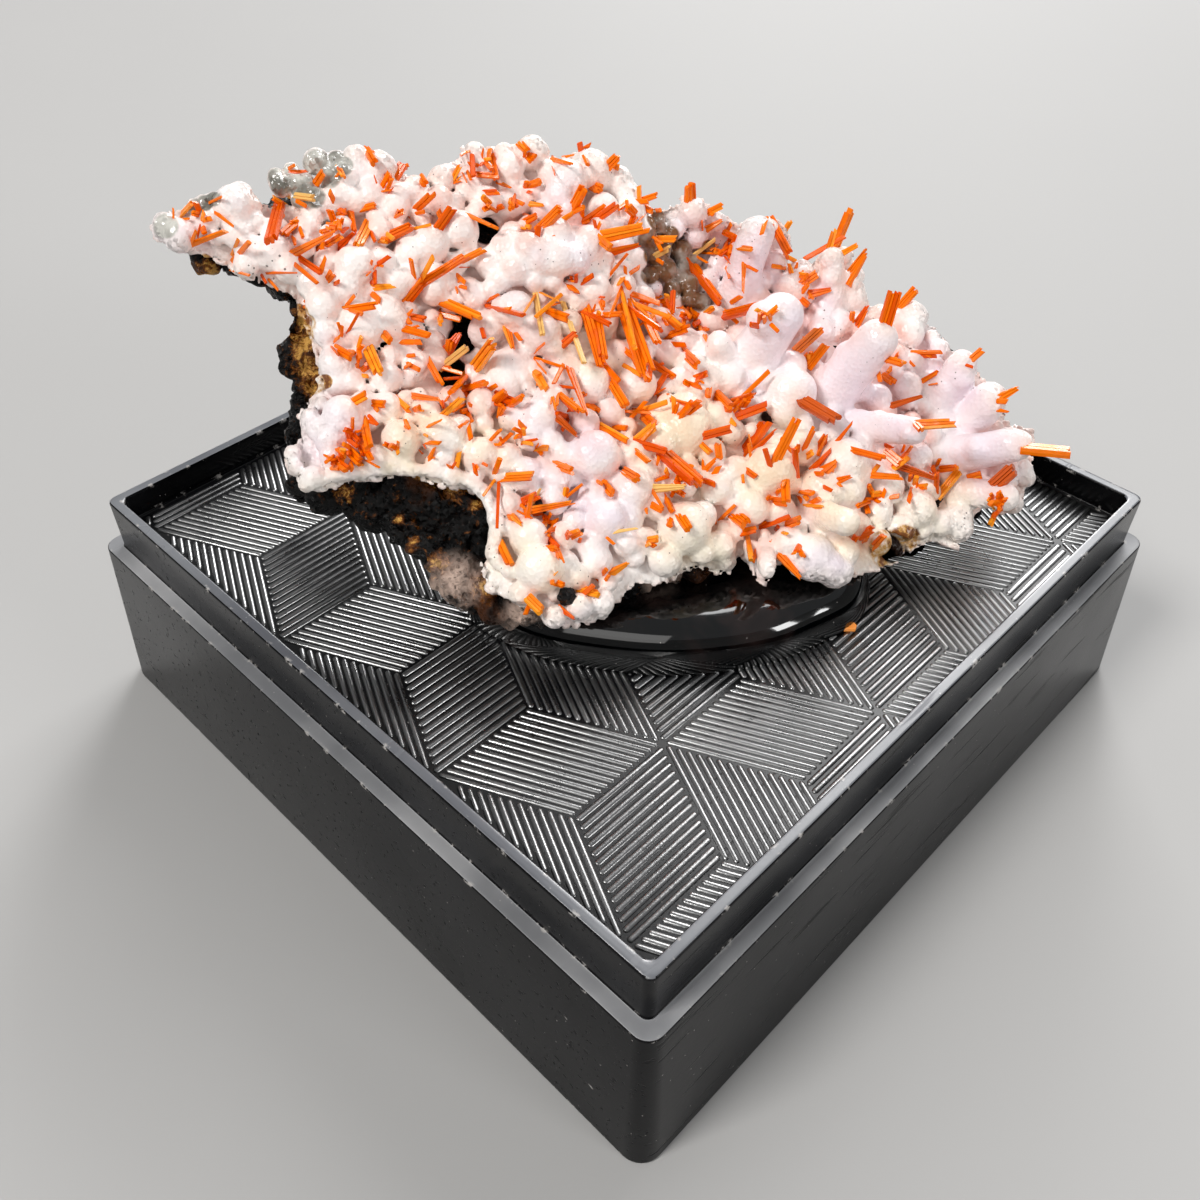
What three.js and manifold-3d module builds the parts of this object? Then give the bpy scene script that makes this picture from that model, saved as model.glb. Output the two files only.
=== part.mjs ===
// A thumbnail specimen of crocoite on gibbsite, glued into the base of its small square display box.
// Millimetres, +Z up. The origin is the centre of the base's underside and the box sides run along X and Y.

import * as THREE from "three";
import { mergeVertices } from "three/addons/utils/BufferGeometryUtils.js";
import Module from "manifold-3d";

const wasm = await Module();
wasm.setup();

// ---- Driving dimensions ----

// Moulded box base: half widths and heights of its steps.
const FOOT_HALF = 16.4;
const LEDGE_HALF = 15.9;
const TRAY_HALF = 15.3;
const RIM_WIDTH = 0.45;
const LEDGE_HEIGHT = 7.8;
const RIM_HEIGHT = 10.2;
const FLOOR_HEIGHT = 9.0;
const DECK_THICKNESS = 1.4;
const WALL_THICKNESS = 1.2;
const CORNER_RADIUS = 0.9;
const CORNER_STEPS = 3;

// Pool of black glue on the tray floor.
const GLUE_CENTRE = new THREE.Vector2(4.06, -2.33);
const GLUE_HALF_LENGTH = 8.0;
const GLUE_HALF_WIDTH = 4.3;
const GLUE_THICKNESS = 2.0;
const GLUE_SEGMENTS = 20;
const GLUE_ANGLE = THREE.MathUtils.degToRad(44);

// Clearance between pieces that touch.
const GAP = 0.3;

// Mineral crust, and the leaning plane that its face follows on average.
const CRUST_THICKNESS = 0.75;
const FACE_HEIGHT = 16.2;
const FACE_FALL_TO_SIDE = -0.33;
const FACE_RISE_TO_BACK = 0.71;

// Display viewpoint. Places on the specimen's face are given as seen from here, in view units:
// x to the right, y down, VIEW_CENTRE at the middle and VIEW_LENGTH units to a slope of one.
const EYE = new THREE.Vector3(25.26, -27.87, 40.74);
const VIEW_AZIMUTH = THREE.MathUtils.degToRad(43.92);
const VIEW_ELEVATION = THREE.MathUtils.degToRad(44.1);
const VIEW_ROLL = THREE.MathUtils.degToRad(0.53);
const VIEW_CENTRE = 600;
const VIEW_LENGTH = 1158.9;

// ---- Layout from the display viewpoint ----

const towardEye = new THREE.Vector3(
  Math.sin(VIEW_AZIMUTH) * Math.cos(VIEW_ELEVATION),
  -Math.cos(VIEW_AZIMUTH) * Math.cos(VIEW_ELEVATION),
  Math.sin(VIEW_ELEVATION),
);
const side = new THREE.Vector3(0, 0, 1).cross(towardEye).normalize();
const viewRight = side.clone().applyAxisAngle(towardEye, VIEW_ROLL);
const viewUp = towardEye.clone().cross(viewRight);
const away = new THREE.Vector3(-side.y, side.x, 0);

// The face plane: its height falls toward the right and rises toward the back.
const faceNormal = new THREE.Vector3(0, 0, 1)
  .addScaledVector(side, -FACE_FALL_TO_SIDE)
  .addScaledVector(away, -FACE_RISE_TO_BACK);

// The unit direction of the line of sight through view place (x, y).
function sightLine(x, y) {
  return towardEye
    .clone()
    .negate()
    .addScaledVector(viewRight, (x - VIEW_CENTRE) / VIEW_LENGTH)
    .addScaledVector(viewUp, (VIEW_CENTRE - y) / VIEW_LENGTH)
    .normalize();
}

// The point seen at (x, y) that stands `height` mm off the face plane, toward the eye.
function place(x, y, height = 0) {
  const line = sightLine(x, y);
  const reach = (FACE_HEIGHT - EYE.dot(faceNormal)) / line.dot(faceNormal);
  return EYE.clone().addScaledVector(line, reach - height);
}

// A length of view units at (x, y), in mm.
function viewSize(x, y, units) {
  return (units * place(x, y).distanceTo(EYE)) / VIEW_LENGTH;
}

// ---- Solids ----

// A closed geometry as a manifold solid.
function solid(geometry) {
  const bare = geometry.index ? geometry.toNonIndexed() : geometry.clone();
  bare.deleteAttribute("normal");
  bare.deleteAttribute("uv");
  const merged = mergeVertices(bare, 1e-4);
  return new wasm.Manifold(
    new wasm.Mesh({
      numProp: 3,
      vertProperties: merged.attributes.position.array,
      triVerts: new Uint32Array(merged.index.array),
    }),
  );
}

function joined(solids) {
  return solids.reduce((all, one) => all.add(one));
}

function geometryOf(made) {
  const { vertProperties, triVerts } = made.getMesh();
  const geometry = new THREE.BufferGeometry();
  geometry.setAttribute("position", new THREE.BufferAttribute(vertProperties, 3));
  geometry.setIndex(new THREE.BufferAttribute(triVerts, 1));
  return geometry;
}

// The largest body of a solid, its vertices rounded to a fine grid: without crumbs cut loose,
// closed pores and slivers.
function mainBody(made) {
  const GRID = 0.002;
  const snap = (value) => Math.round(value / GRID) * GRID;
  const rounded = mapped(geometryOf(made), (v) => new THREE.Vector3(snap(v.x), snap(v.y), snap(v.z)));
  const bodies = solid(rounded).decompose();
  return bodies.reduce((most, one) => (one.volume() > most.volume() ? one : most));
}

function namedMesh(name, made, look) {
  const geometry = geometryOf(made);
  geometry.computeVertexNormals();
  const mesh = new THREE.Mesh(geometry, new THREE.MeshStandardMaterial(look));
  mesh.name = name;
  return mesh;
}

// Moves each vertex of a geometry to the point that `move` gives for it.
function mapped(geometry, move) {
  const position = geometry.attributes.position;
  const vertex = new THREE.Vector3();
  for (let i = 0; i < position.count; i++) {
    vertex.fromBufferAttribute(position, i);
    const moved = move(vertex);
    position.setXYZ(i, moved.x, moved.y, moved.z);
  }
  return geometry;
}

// ---- Base ----

// One ring of points round a square with rounded corners.
function squareRing(half, radius, height) {
  const ring = [];
  for (let corner = 0; corner < 4; corner++) {
    const centre = new THREE.Vector2(half - radius, half - radius).rotateAround(
      new THREE.Vector2(),
      (corner * Math.PI) / 2,
    );
    for (let step = 0; step <= CORNER_STEPS; step++) {
      const angle = (corner + step / CORNER_STEPS) * (Math.PI / 2);
      ring.push(
        new THREE.Vector3(
          centre.x + radius * Math.cos(angle),
          centre.y + radius * Math.sin(angle),
          height,
        ),
      );
    }
  }
  return ring;
}

// A closed skin over rings of equal length, with a flat cap inside the first and the last.
function loft(rings) {
  const count = rings[0].length;
  const faces = [];
  for (let r = 0; r + 1 < rings.length; r++) {
    for (let i = 0; i < count; i++) {
      const j = (i + 1) % count;
      faces.push(rings[r][i], rings[r][j], rings[r + 1][j]);
      faces.push(rings[r][i], rings[r + 1][j], rings[r + 1][i]);
    }
  }
  const first = rings[0];
  const last = rings[rings.length - 1];
  for (let i = 1; i + 1 < count; i++) {
    faces.push(first[0], first[i + 1], first[i]);
    faces.push(last[0], last[i], last[i + 1]);
  }
  return new THREE.BufferGeometry().setFromPoints(faces);
}

// A thin moulding, open underneath: walls, a ledge for the lid, and a tray with a low rim.
function displayBase() {
  const inside = RIM_WIDTH + CORNER_RADIUS / 3;
  const steps = [
    [LEDGE_HALF - WALL_THICKNESS, CORNER_RADIUS / 2, FLOOR_HEIGHT - DECK_THICKNESS],
    [FOOT_HALF - WALL_THICKNESS, CORNER_RADIUS / 2, 0],
    [FOOT_HALF, CORNER_RADIUS, 0],
    [LEDGE_HALF, CORNER_RADIUS, LEDGE_HEIGHT],
    [TRAY_HALF, CORNER_RADIUS, LEDGE_HEIGHT],
    [TRAY_HALF, CORNER_RADIUS, RIM_HEIGHT],
    [TRAY_HALF - RIM_WIDTH, CORNER_RADIUS - inside / 2, RIM_HEIGHT],
    [TRAY_HALF - RIM_WIDTH, CORNER_RADIUS - inside / 2, FLOOR_HEIGHT],
  ];
  return solid(loft(steps.map(([half, radius, height]) => squareRing(half, radius, height))));
}

// ---- Glue ----

// A flat pool with a rounded bank, longer than it is wide.
function gluePool() {
  const bank = [
    [0, 0],
    [0.97, 0],
    [1, 0.2],
    [0.985, 0.5],
    [0.94, 0.8],
    [0.86, 0.96],
    [0.74, 1],
    [0, 1],
  ];
  const profile = bank.map(([out, up]) => new THREE.Vector2(out, up * GLUE_THICKNESS));
  const pool = new THREE.LatheGeometry(profile, GLUE_SEGMENTS);
  pool.rotateX(Math.PI / 2);
  pool.scale(GLUE_HALF_LENGTH, GLUE_HALF_WIDTH, 1);
  pool.rotateZ(GLUE_ANGLE);
  pool.translate(GLUE_CENTRE.x, GLUE_CENTRE.y, FLOOR_HEIGHT);
  return solid(pool);
}

// ---- Crust and rock ----

// Heights of the face off its plane, in mm, at places across it.
const FACE_RELIEF = [
  [155, 226, 0.4], [240, 195, 1.0], [235, 245, 0.5], [280, 260, 0.9], [330, 200, 0.4],
  [355, 165, 0.6], [355, 265, 0.9], [325, 305, 0.8], [400, 195, 0.7], [430, 245, 0.9],
  [470, 160, 0.4], [470, 230, 0.9], [530, 155, 0.5], [520, 205, -0.2], [550, 250, 2.0],
  [590, 250, 1.8], [560, 185, 0.8], [590, 170, 0.6], [625, 190, 0.3], [640, 235, 0.2],
  [600, 295, 0.6], [520, 300, 1.1], [470, 290, 0.4], [365, 325, 0.6], [390, 325, 0.2],
  [440, 345, -0.6], [470, 350, -1.2], [405, 355, -0.2], [385, 378, 0.3], [505, 365, 0.4],
  [540, 335, 0.9], [590, 385, 0.9], [635, 340, -0.4], [635, 385, 0.5], [690, 205, 0.3],
  [675, 260, -1.6], [700, 290, -1.2], [730, 300, -0.6], [715, 385, 0.3], [684, 429, 1.2],
  [740, 430, 1.0], [785, 395, 1.2], [770, 470, 1.6], [820, 300, -0.5], [880, 320, -0.5],
  [910, 340, 0.2], [860, 400, 0.8], [915, 400, 0.4], [950, 380, 0.3], [985, 420, 0.5],
  [842, 465, 1.8], [914, 460, 1.2], [960, 490, 0.9], [1010, 470, 1.2], [900, 505, 1.0],
  [950, 525, 0.6], [905, 545, 0.9], [820, 500, 1.5], [811, 557, 2.0], [850, 565, 1.9],
  [770, 520, 1.3], [770, 565, 1.4], [735, 550, 0.8], [685, 528, 1.6], [665, 565, 1.0],
  [720, 490, 1.4], [640, 490, 1.3], [594, 457, 1.4], [606, 521, 1.3], [620, 580, 1.2],
  [565, 620, 1.5], [540, 570, 1.5], [515, 595, 1.2], [500, 550, 0.9], [530, 475, 0.9],
  [540, 420, 1.0], [480, 456, 0.9], [480, 490, 0.8], [440, 435, 1.0], [401, 440, 0.7],
  [350, 425, 0.7], [330, 470, 0.5], [300, 455, 0.2], [330, 390, -0.2], [315, 350, -0.4],
  [300, 310, -0.2],
];

// Thickness of the dark rock under the crust, in mm, away from its broken edge.
const ROCK_DEPTH = [
  [180, 235, 0.7], [300, 230, 1.8], [300, 330, 2.2], [420, 220, 2.6], [560, 180, 2.2],
  [690, 230, 2.2], [780, 290, 2.4], [900, 350, 2.2], [1000, 440, 1.2], [420, 380, 4.2],
  [560, 330, 4.5], [700, 380, 4.8], [830, 430, 3.4], [330, 460, 3.2], [440, 520, 5.0],
  [560, 480, 6.0], [560, 590, 5.0], [680, 500, 6.0], [780, 520, 4.5], [900, 520, 1.4],
];

// Edge of the crust, and of the rock that shows past it on the left.
const CRUST_EDGE = [
  [153, 226], [180, 212], [212, 200], [241, 188], [262, 203], [290, 206], [318, 196],
  [325, 180], [352, 154], [378, 158], [412, 178], [440, 176], [463, 151], [505, 147],
  [535, 143], [556, 160], [592, 154], [620, 170], [636, 200], [655, 215], [678, 205],
  [690, 197], [712, 210], [738, 230], [768, 250], [795, 280], [833, 275], [862, 295],
  [908, 306], [935, 335], [966, 365], [995, 400], [1020, 440], [1018, 490], [985, 508],
  [957, 547], [920, 545], [890, 562], [843, 579], [797, 572], [765, 580], [740, 558],
  [700, 567], [655, 584], [625, 590], [600, 617], [565, 627], [520, 605], [487, 588],
  [497, 550], [490, 505], [470, 490], [420, 478], [360, 480], [310, 488], [290, 465],
  [305, 430], [300, 415], [320, 390], [312, 345], [298, 300], [270, 285], [220, 262],
  [178, 243],
];
const ROCK_EDGE = [
  [190, 228], [250, 210], [350, 180], [480, 168], [560, 175], [620, 192], [690, 220],
  [760, 262], [860, 305], [920, 330], [980, 395], [1005, 440], [995, 490], [940, 530],
  [880, 548], [800, 560], [735, 548], [680, 558], [620, 582], [560, 616], [500, 618],
  [451, 601], [428, 561], [387, 528], [338, 508], [300, 490], [286, 434], [298, 396],
  [281, 355], [287, 330], [296, 298], [240, 266],
];

// The larger rounded lumps of the crust: x, y and radius in view units.
const LUMPS = [
  [168, 227, 13], [181, 236, 15], [233, 206, 19], [239, 234, 15], [273, 253, 18],
  [289, 268, 15], [310, 222, 16], [339, 198, 15], [356, 162, 14], [380, 170, 15],
  [372, 195, 15], [398, 198, 15], [356, 266, 20], [380, 240, 17], [314, 284, 16],
  [346, 288, 17], [324, 306, 17], [364, 331, 20], [336, 364, 18], [441, 182, 14],
  [430, 244, 18], [412, 255, 17], [460, 230, 18], [475, 158, 13], [505, 160, 14],
  [532, 156, 16], [591, 172, 20], [566, 182, 20], [623, 188, 14], [487, 201, 14],
  [559, 198, 15], [603, 209, 15], [512, 236, 14], [509, 251, 19], [528, 255, 18],
  [555, 237, 18], [550, 259, 18], [589, 244, 17], [575, 259, 15], [638, 232, 16],
  [594, 291, 17], [516, 310, 18], [487, 330, 17], [516, 362, 17], [505, 385, 16],
  [541, 335, 20], [591, 384, 20], [617, 357, 17], [635, 385, 20], [551, 401, 18],
  [391, 325, 20], [396, 284, 15], [403, 351, 15], [692, 213, 14], [668, 268, 13],
  [713, 320, 15], [668, 354, 14], [697, 393, 16], [731, 381, 18], [684, 429, 28],
  [718, 420, 18], [790, 393, 25], [781, 407, 20], [830, 318, 14], [911, 322, 16],
  [914, 364, 14], [877, 398, 14], [854, 470, 20], [914, 459, 17], [886, 486, 17],
  [821, 491, 24], [916, 509, 19], [957, 518, 15], [343, 416, 20], [335, 439, 16],
  [386, 378, 16], [386, 409, 17], [401, 439, 19], [439, 434, 20], [451, 399, 13],
  [482, 403, 15], [480, 456, 19], [449, 439, 18], [525, 475, 18], [540, 417, 19],
  [556, 480, 16], [594, 457, 26], [586, 423, 14], [633, 455, 17], [633, 491, 23],
  [661, 442, 20], [606, 521, 22], [627, 516, 17], [597, 562, 16], [529, 537, 19],
  [540, 569, 24], [685, 528, 26], [665, 560, 17], [717, 489, 16], [736, 471, 15],
  [769, 471, 26], [801, 448, 18], [842, 462, 24], [845, 489, 20], [770, 508, 18],
  [811, 557, 23], [837, 568, 16], [788, 543, 16],
];

// Stalactite fingers: root x, y, tip x, y, radius at root and tip in view units, and how far
// the tip stands off the face in mm.
const FINGERS = [
  [734, 300, 757, 234, 19, 17, 2.2],
  [745, 366, 781, 316, 24, 22, 3.2],
  [731, 372, 719, 343, 15, 13, 1.6],
  [831, 305, 832, 258, 18, 11, 1.8],
  [854, 300, 850, 280, 14, 10, 1.0],
  [831, 393, 877, 340, 25, 19, 4.2],
  [936, 411, 961, 366, 18, 15, 2.2],
  [961, 432, 989, 400, 20, 17, 2.4],
  [854, 425, 913, 431, 16, 13, 3.6],
  [948, 457, 1012, 445, 19, 16, 3.0],
  [955, 491, 1005, 497, 16, 13, 1.8],
  [810, 510, 846, 522, 15, 13, 2.6],
  [765, 552, 767, 570, 11, 8, 1.8],
];

// Crocoite prisms: foot x, y, tip x, y and width in view units.
const PRISMS = [
  [190, 245, 223, 232, 6], [263, 196, 271, 238, 10], [289, 256, 331, 234, 9],
  [369, 223, 359, 243, 10], [385, 239, 408, 228, 9], [367, 162, 371, 148, 8],
  [341, 311, 372, 306, 9], [367, 288, 392, 286, 8], [333, 347, 351, 357, 9],
  [367, 346, 378, 371, 12], [437, 230, 451, 210, 10], [409, 216, 430, 196, 8],
  [405, 303, 421, 284, 11], [416, 287, 460, 259, 10], [451, 266, 481, 251, 8],
  [441, 301, 475, 316, 10], [401, 328, 426, 335, 9], [423, 351, 439, 380, 8],
  [446, 353, 459, 334, 12], [459, 384, 491, 346, 14], [398, 394, 435, 399, 9],
  [394, 180, 403, 164, 9], [537, 232, 559, 210, 11], [569, 216, 582, 191, 10],
  [580, 225, 605, 207, 8], [601, 237, 644, 228, 11], [609, 253, 635, 246, 9],
  [591, 185, 600, 189, 10], [607, 167, 617, 157, 9], [507, 346, 512, 328, 10],
  [485, 305, 523, 315, 7], [544, 310, 564, 317, 9], [585, 360, 600, 307, 11],
  [598, 355, 596, 314, 10], [562, 357, 578, 300, 7], [628, 340, 621, 287, 8],
  [648, 360, 628, 301, 10], [628, 344, 644, 375, 9], [610, 380, 625, 405, 10],
  [585, 408, 567, 362, 9], [559, 348, 575, 334, 9], [643, 373, 620, 304, 9],
  [656, 340, 640, 300, 9], [690, 204, 690, 184, 11], [704, 231, 722, 220, 8],
  [714, 245, 736, 232, 10], [688, 259, 718, 299, 11], [770, 250, 786, 222, 10],
  [799, 286, 815, 275, 9], [806, 295, 829, 290, 9], [835, 247, 849, 213, 10],
  [845, 284, 865, 254, 12], [852, 332, 866, 309, 10], [885, 325, 894, 293, 11],
  [898, 309, 914, 291, 9], [722, 316, 757, 307, 10], [795, 352, 818, 331, 9],
  [807, 368, 824, 347, 10], [732, 407, 768, 372, 8], [715, 393, 729, 407, 10],
  [734, 418, 763, 407, 9], [682, 350, 695, 363, 9], [656, 397, 688, 404, 8],
  [641, 413, 654, 425, 10], [652, 363, 674, 377, 8], [745, 455, 765, 423, 13],
  [772, 468, 794, 425, 11], [811, 471, 829, 452, 8], [815, 454, 824, 437, 10],
  [800, 399, 832, 418, 12], [966, 364, 984, 347, 8], [995, 400, 1016, 389, 10],
  [885, 408, 923, 396, 8], [914, 427, 950, 421, 10], [1021, 448, 1064, 452, 12],
  [993, 487, 1012, 468, 13], [937, 498, 959, 471, 9], [895, 464, 932, 477, 10],
  [879, 446, 898, 462, 10], [837, 446, 878, 457, 8], [358, 439, 366, 451, 11],
  [346, 447, 359, 461, 10], [363, 446, 367, 416, 9], [492, 403, 505, 393, 10],
  [500, 411, 519, 399, 9], [493, 478, 527, 476, 10], [499, 541, 510, 564, 9],
  [554, 414, 577, 435, 9], [599, 425, 624, 439, 8], [522, 512, 569, 503, 10],
  [552, 541, 561, 559, 10], [624, 471, 636, 478, 10], [661, 451, 695, 480, 14],
  [651, 489, 683, 487, 10], [679, 512, 689, 530, 11], [606, 576, 627, 564, 11],
  [526, 596, 541, 612, 11], [577, 588, 598, 595, 10], [699, 437, 726, 430, 9],
  [699, 476, 715, 460, 8], [785, 480, 786, 502, 9], [768, 500, 784, 502, 8],
  [735, 534, 756, 529, 9], [733, 514, 746, 524, 12], [769, 543, 798, 574, 12],
  [870, 550, 883, 535, 8], [805, 505, 824, 507, 8],
];

// Smooth blend of the values given at places, nearest first.
function blend(places, x, y) {
  const SOFTEN = 30;
  let total = 0;
  let weights = 0;
  for (const [px, py, value] of places) {
    const weight = ((px - x) ** 2 + (py - y) ** 2 + SOFTEN ** 2) ** -2;
    total += weight * value;
    weights += weight;
  }
  return total / weights;
}

const relief = (x, y) => blend(FACE_RELIEF, x, y);

// A lump's centre is sunk under the face by this share of its radius.
const LUMP_SINK = 0.2;

// Facet sizes of the face and of the surfaces behind it, in view units.
const FACE_CELL = 15;
const UNDERSIDE_CELL = 55;

// Height of the lumpy face at (x, y): the highest of the sheet and the lumps there.
function faceHeight(x, y) {
  let height = relief(x, y);
  for (const [lx, ly, radius] of LUMPS) {
    const inside = radius ** 2 - (lx - x) ** 2 - (ly - y) ** 2;
    if (inside > 0) {
      const top = Math.sqrt(inside) - LUMP_SINK * radius;
      height = Math.max(height, relief(lx, ly) + viewSize(lx, ly, top));
    }
  }
  return height;
}

// A slab that follows the face between two heights, over the whole specimen, in cells of a size.
function faceSlab(top, bottom, cell) {
  const [left, right, upper, lower] = [110, 1090, 100, 680];
  const width = right - left;
  const depth = lower - upper;
  const block = new THREE.BoxGeometry(
    width, depth, 1, Math.round(width / cell), Math.round(depth / cell), 1,
  );
  return solid(
    mapped(block, (v) => {
      const x = v.x + (left + right) / 2;
      const y = (upper + lower) / 2 - v.y;
      return place(x, y, v.z > 0 ? top(x, y) : bottom(x, y));
    }),
  );
}

// A cone of sight through an edge, long enough to cut through the whole specimen.
function sightPrism(edge) {
  const REACH = 12;
  const shape = new THREE.Shape(edge.map(([x, y]) => new THREE.Vector2(x, -y)));
  const prism = new THREE.ExtrudeGeometry(shape, { depth: 1, bevelEnabled: false });
  return solid(mapped(prism, (v) => place(v.x, -v.y, (v.z - 0.5) * 2 * REACH)));
}

// Turns a geometry that runs up +Z from the origin so that it runs from one point to another.
function aimed(geometry, from, to) {
  const turn = new THREE.Quaternion().setFromUnitVectors(
    new THREE.Vector3(0, 0, 1),
    to.clone().sub(from).normalize(),
  );
  geometry.applyQuaternion(turn);
  geometry.translate(from.x, from.y, from.z);
  return geometry;
}

// A tapered finger with a round tip, from a root sunk in the sheet.
function finger([x0, y0, x1, y1, rootUnits, tipUnits, tipHeight]) {
  const root = place(x0, y0, relief(x0, y0) - 0.2);
  const tip = place(x1, y1, relief(x1, y1) + tipHeight);
  const rootRadius = viewSize(x0, y0, rootUnits);
  const tipRadius = viewSize(x1, y1, tipUnits);
  const length = root.distanceTo(tip);
  const profile = [
    new THREE.Vector2(0, -rootRadius * 0.7),
    new THREE.Vector2(rootRadius, 0),
    new THREE.Vector2(tipRadius, length - tipRadius * 0.3),
    new THREE.Vector2(tipRadius * 0.72, length + tipRadius * 0.4),
    new THREE.Vector2(0, length + tipRadius * 0.7),
  ];
  const body = new THREE.LatheGeometry(profile, 8);
  body.rotateX(Math.PI / 2);
  return solid(aimed(body, root, tip));
}

// A square prism with a slanting end, its foot sunk in the crust and its tip standing proud.
function prism([x0, y0, x1, y1, units], index) {
  const SUNK = 0.45;
  const LIFT = 0.35;
  const TURN_STEP = 0.9;
  const seen = viewSize(x0, y0, Math.hypot(x1 - x0, y1 - y0));
  const footHeight = faceHeight(x0, y0);
  const foot = place(x0, y0, footHeight - SUNK);
  const tipBase = Math.max(footHeight, faceHeight(x1, y1)) - 0.1;
  const tip = place(x1, y1, tipBase + LIFT * seen);
  const width = viewSize(x0, y0, units);
  const length = foot.distanceTo(tip);
  const body = new THREE.BoxGeometry(width, width * 0.75, length);
  mapped(body, (v) => {
    const slant = v.z > 0 ? 0.3 * v.x : 0;
    return new THREE.Vector3(v.x, v.y, v.z + length / 2 + slant);
  });
  body.rotateZ(index * TURN_STEP);
  return solid(aimed(body, foot, tip));
}

// White lumpy crust with its fingers and the orange prisms grown on it: one piece.
function gibbsiteCrust() {
  const SPARE = 1;
  const SPACE_DEPTH = 9;
  const underside = (x, y) => relief(x, y) - CRUST_THICKNESS;
  const behind = (x, y) => underside(x, y) - SPARE;
  const deep = (x, y) => underside(x, y) - SPACE_DEPTH;
  const face = faceSlab(faceHeight, behind, FACE_CELL).intersect(sightPrism(CRUST_EDGE));
  const grown = [...FINGERS.map(finger), ...PRISMS.map(prism)];
  const rockSpace = faceSlab(underside, deep, UNDERSIDE_CELL);
  return mainBody(joined([face, ...grown]).subtract(rockSpace));
}

// Shortest distance in view units from (x, y) to a closed edge.
function edgeDistance(edge, x, y) {
  const point = new THREE.Vector3(x, y, 0);
  const corners = edge.map(([ex, ey]) => new THREE.Vector3(ex, ey, 0));
  const distances = corners.map((corner, i) => {
    const stretch = new THREE.Line3(corner, corners[(i + 1) % corners.length]);
    return stretch.closestPointToPoint(point, true, new THREE.Vector3()).distanceTo(point);
  });
  return Math.min(...distances);
}

// Share of the full rock thickness at (x, y): the rock thins toward its broken edge.
function rockShare(x, y) {
  const EDGE_SHARE = 0.3;
  const TAPER = 75;
  return Math.min(1, EDGE_SHARE + ((1 - EDGE_SHARE) * edgeDistance(ROCK_EDGE, x, y)) / TAPER);
}

// Dark rock behind the crust, cut level where it stands in the glue.
function matrixRock() {
  const top = (x, y) => relief(x, y) - CRUST_THICKNESS - GAP;
  const bottom = (x, y) => top(x, y) - blend(ROCK_DEPTH, x, y) * rockShare(x, y);
  const seat = FLOOR_HEIGHT + GLUE_THICKNESS + GAP;
  const roomSide = 3 * FOOT_HALF;
  const room = new THREE.BoxGeometry(roomSide, roomSide, roomSide);
  room.translate(0, 0, seat + roomSide / 2);
  const rock = faceSlab(top, bottom, UNDERSIDE_CELL).intersect(sightPrism(ROCK_EDGE));
  return mainBody(rock.intersect(solid(room)));
}

// ---- Assembly ----

const specimen = new THREE.Group();
specimen.add(
  namedMesh("matrix", matrixRock(), { color: 0x3a2c20, roughness: 0.75, metalness: 0 }),
  namedMesh("gibbsite_crust", gibbsiteCrust(), { color: 0xeadfda, roughness: 0.4, metalness: 0 }),
);

const part = new THREE.Group();
part.add(
  namedMesh("display_base", displayBase(), { color: 0x17181a, roughness: 0.3, metalness: 0 }),
  namedMesh("glue", gluePool(), { color: 0x050607, roughness: 0.08, metalness: 0 }),
  specimen,
);

export default part;
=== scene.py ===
# A thumbnail specimen of crocoite on gibbsite in its display base: its looks, its light and its camera.
#
# Sizes are in millimetres until a mesh is made. Places on the specimen's face are view units, x to the
# right and y down, as seen from the display viewpoint, with a height in mm off the leaning face plane.

import math

import bpy
import numpy as np
from mathutils import Matrix, Vector
from mathutils.bvhtree import BVHTree


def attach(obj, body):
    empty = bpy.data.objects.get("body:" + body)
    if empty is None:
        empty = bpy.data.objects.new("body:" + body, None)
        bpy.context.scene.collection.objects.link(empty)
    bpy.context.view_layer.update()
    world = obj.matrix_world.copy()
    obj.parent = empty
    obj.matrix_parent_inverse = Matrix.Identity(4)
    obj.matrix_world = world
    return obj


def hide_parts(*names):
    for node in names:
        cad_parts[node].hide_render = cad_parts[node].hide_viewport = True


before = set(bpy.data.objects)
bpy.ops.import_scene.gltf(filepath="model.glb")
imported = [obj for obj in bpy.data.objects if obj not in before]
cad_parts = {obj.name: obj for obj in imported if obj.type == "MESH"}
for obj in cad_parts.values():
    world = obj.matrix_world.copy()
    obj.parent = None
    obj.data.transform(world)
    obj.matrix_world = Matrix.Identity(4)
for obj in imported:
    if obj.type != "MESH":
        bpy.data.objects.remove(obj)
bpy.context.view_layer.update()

MM = 0.001
RNG = np.random.default_rng(7)

# ---- Driving dimensions of the base, in mm ----

FOOT_HALF = 16.4
LEDGE_HALF = 15.9
TRAY_HALF = 15.3
RIM_WIDTH = 0.45
LEDGE_HEIGHT = 7.8
RIM_HEIGHT = 10.2
FLOOR_HEIGHT = 9.0
DECK_THICKNESS = 1.4
WALL_THICKNESS = 1.2
CORNER_RADIUS = 0.9

# ---- Display viewpoint ----

EYE = np.array([25.26, -27.87, 40.74])
VIEW_AZIMUTH, VIEW_ELEVATION, VIEW_ROLL = np.radians([43.92, 44.1, 0.53])
VIEW_CENTRE = 600
VIEW_LENGTH = 1158.9
UNIT_SIZE = 0.038  # about how many mm of the face one view unit covers
FACE_MIDDLE = (600, 380)

# The leaning plane that the specimen's face follows on average.
FACE_HEIGHT = 16.2
FACE_FALL_TO_SIDE = -0.33
FACE_RISE_TO_BACK = 0.71

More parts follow.
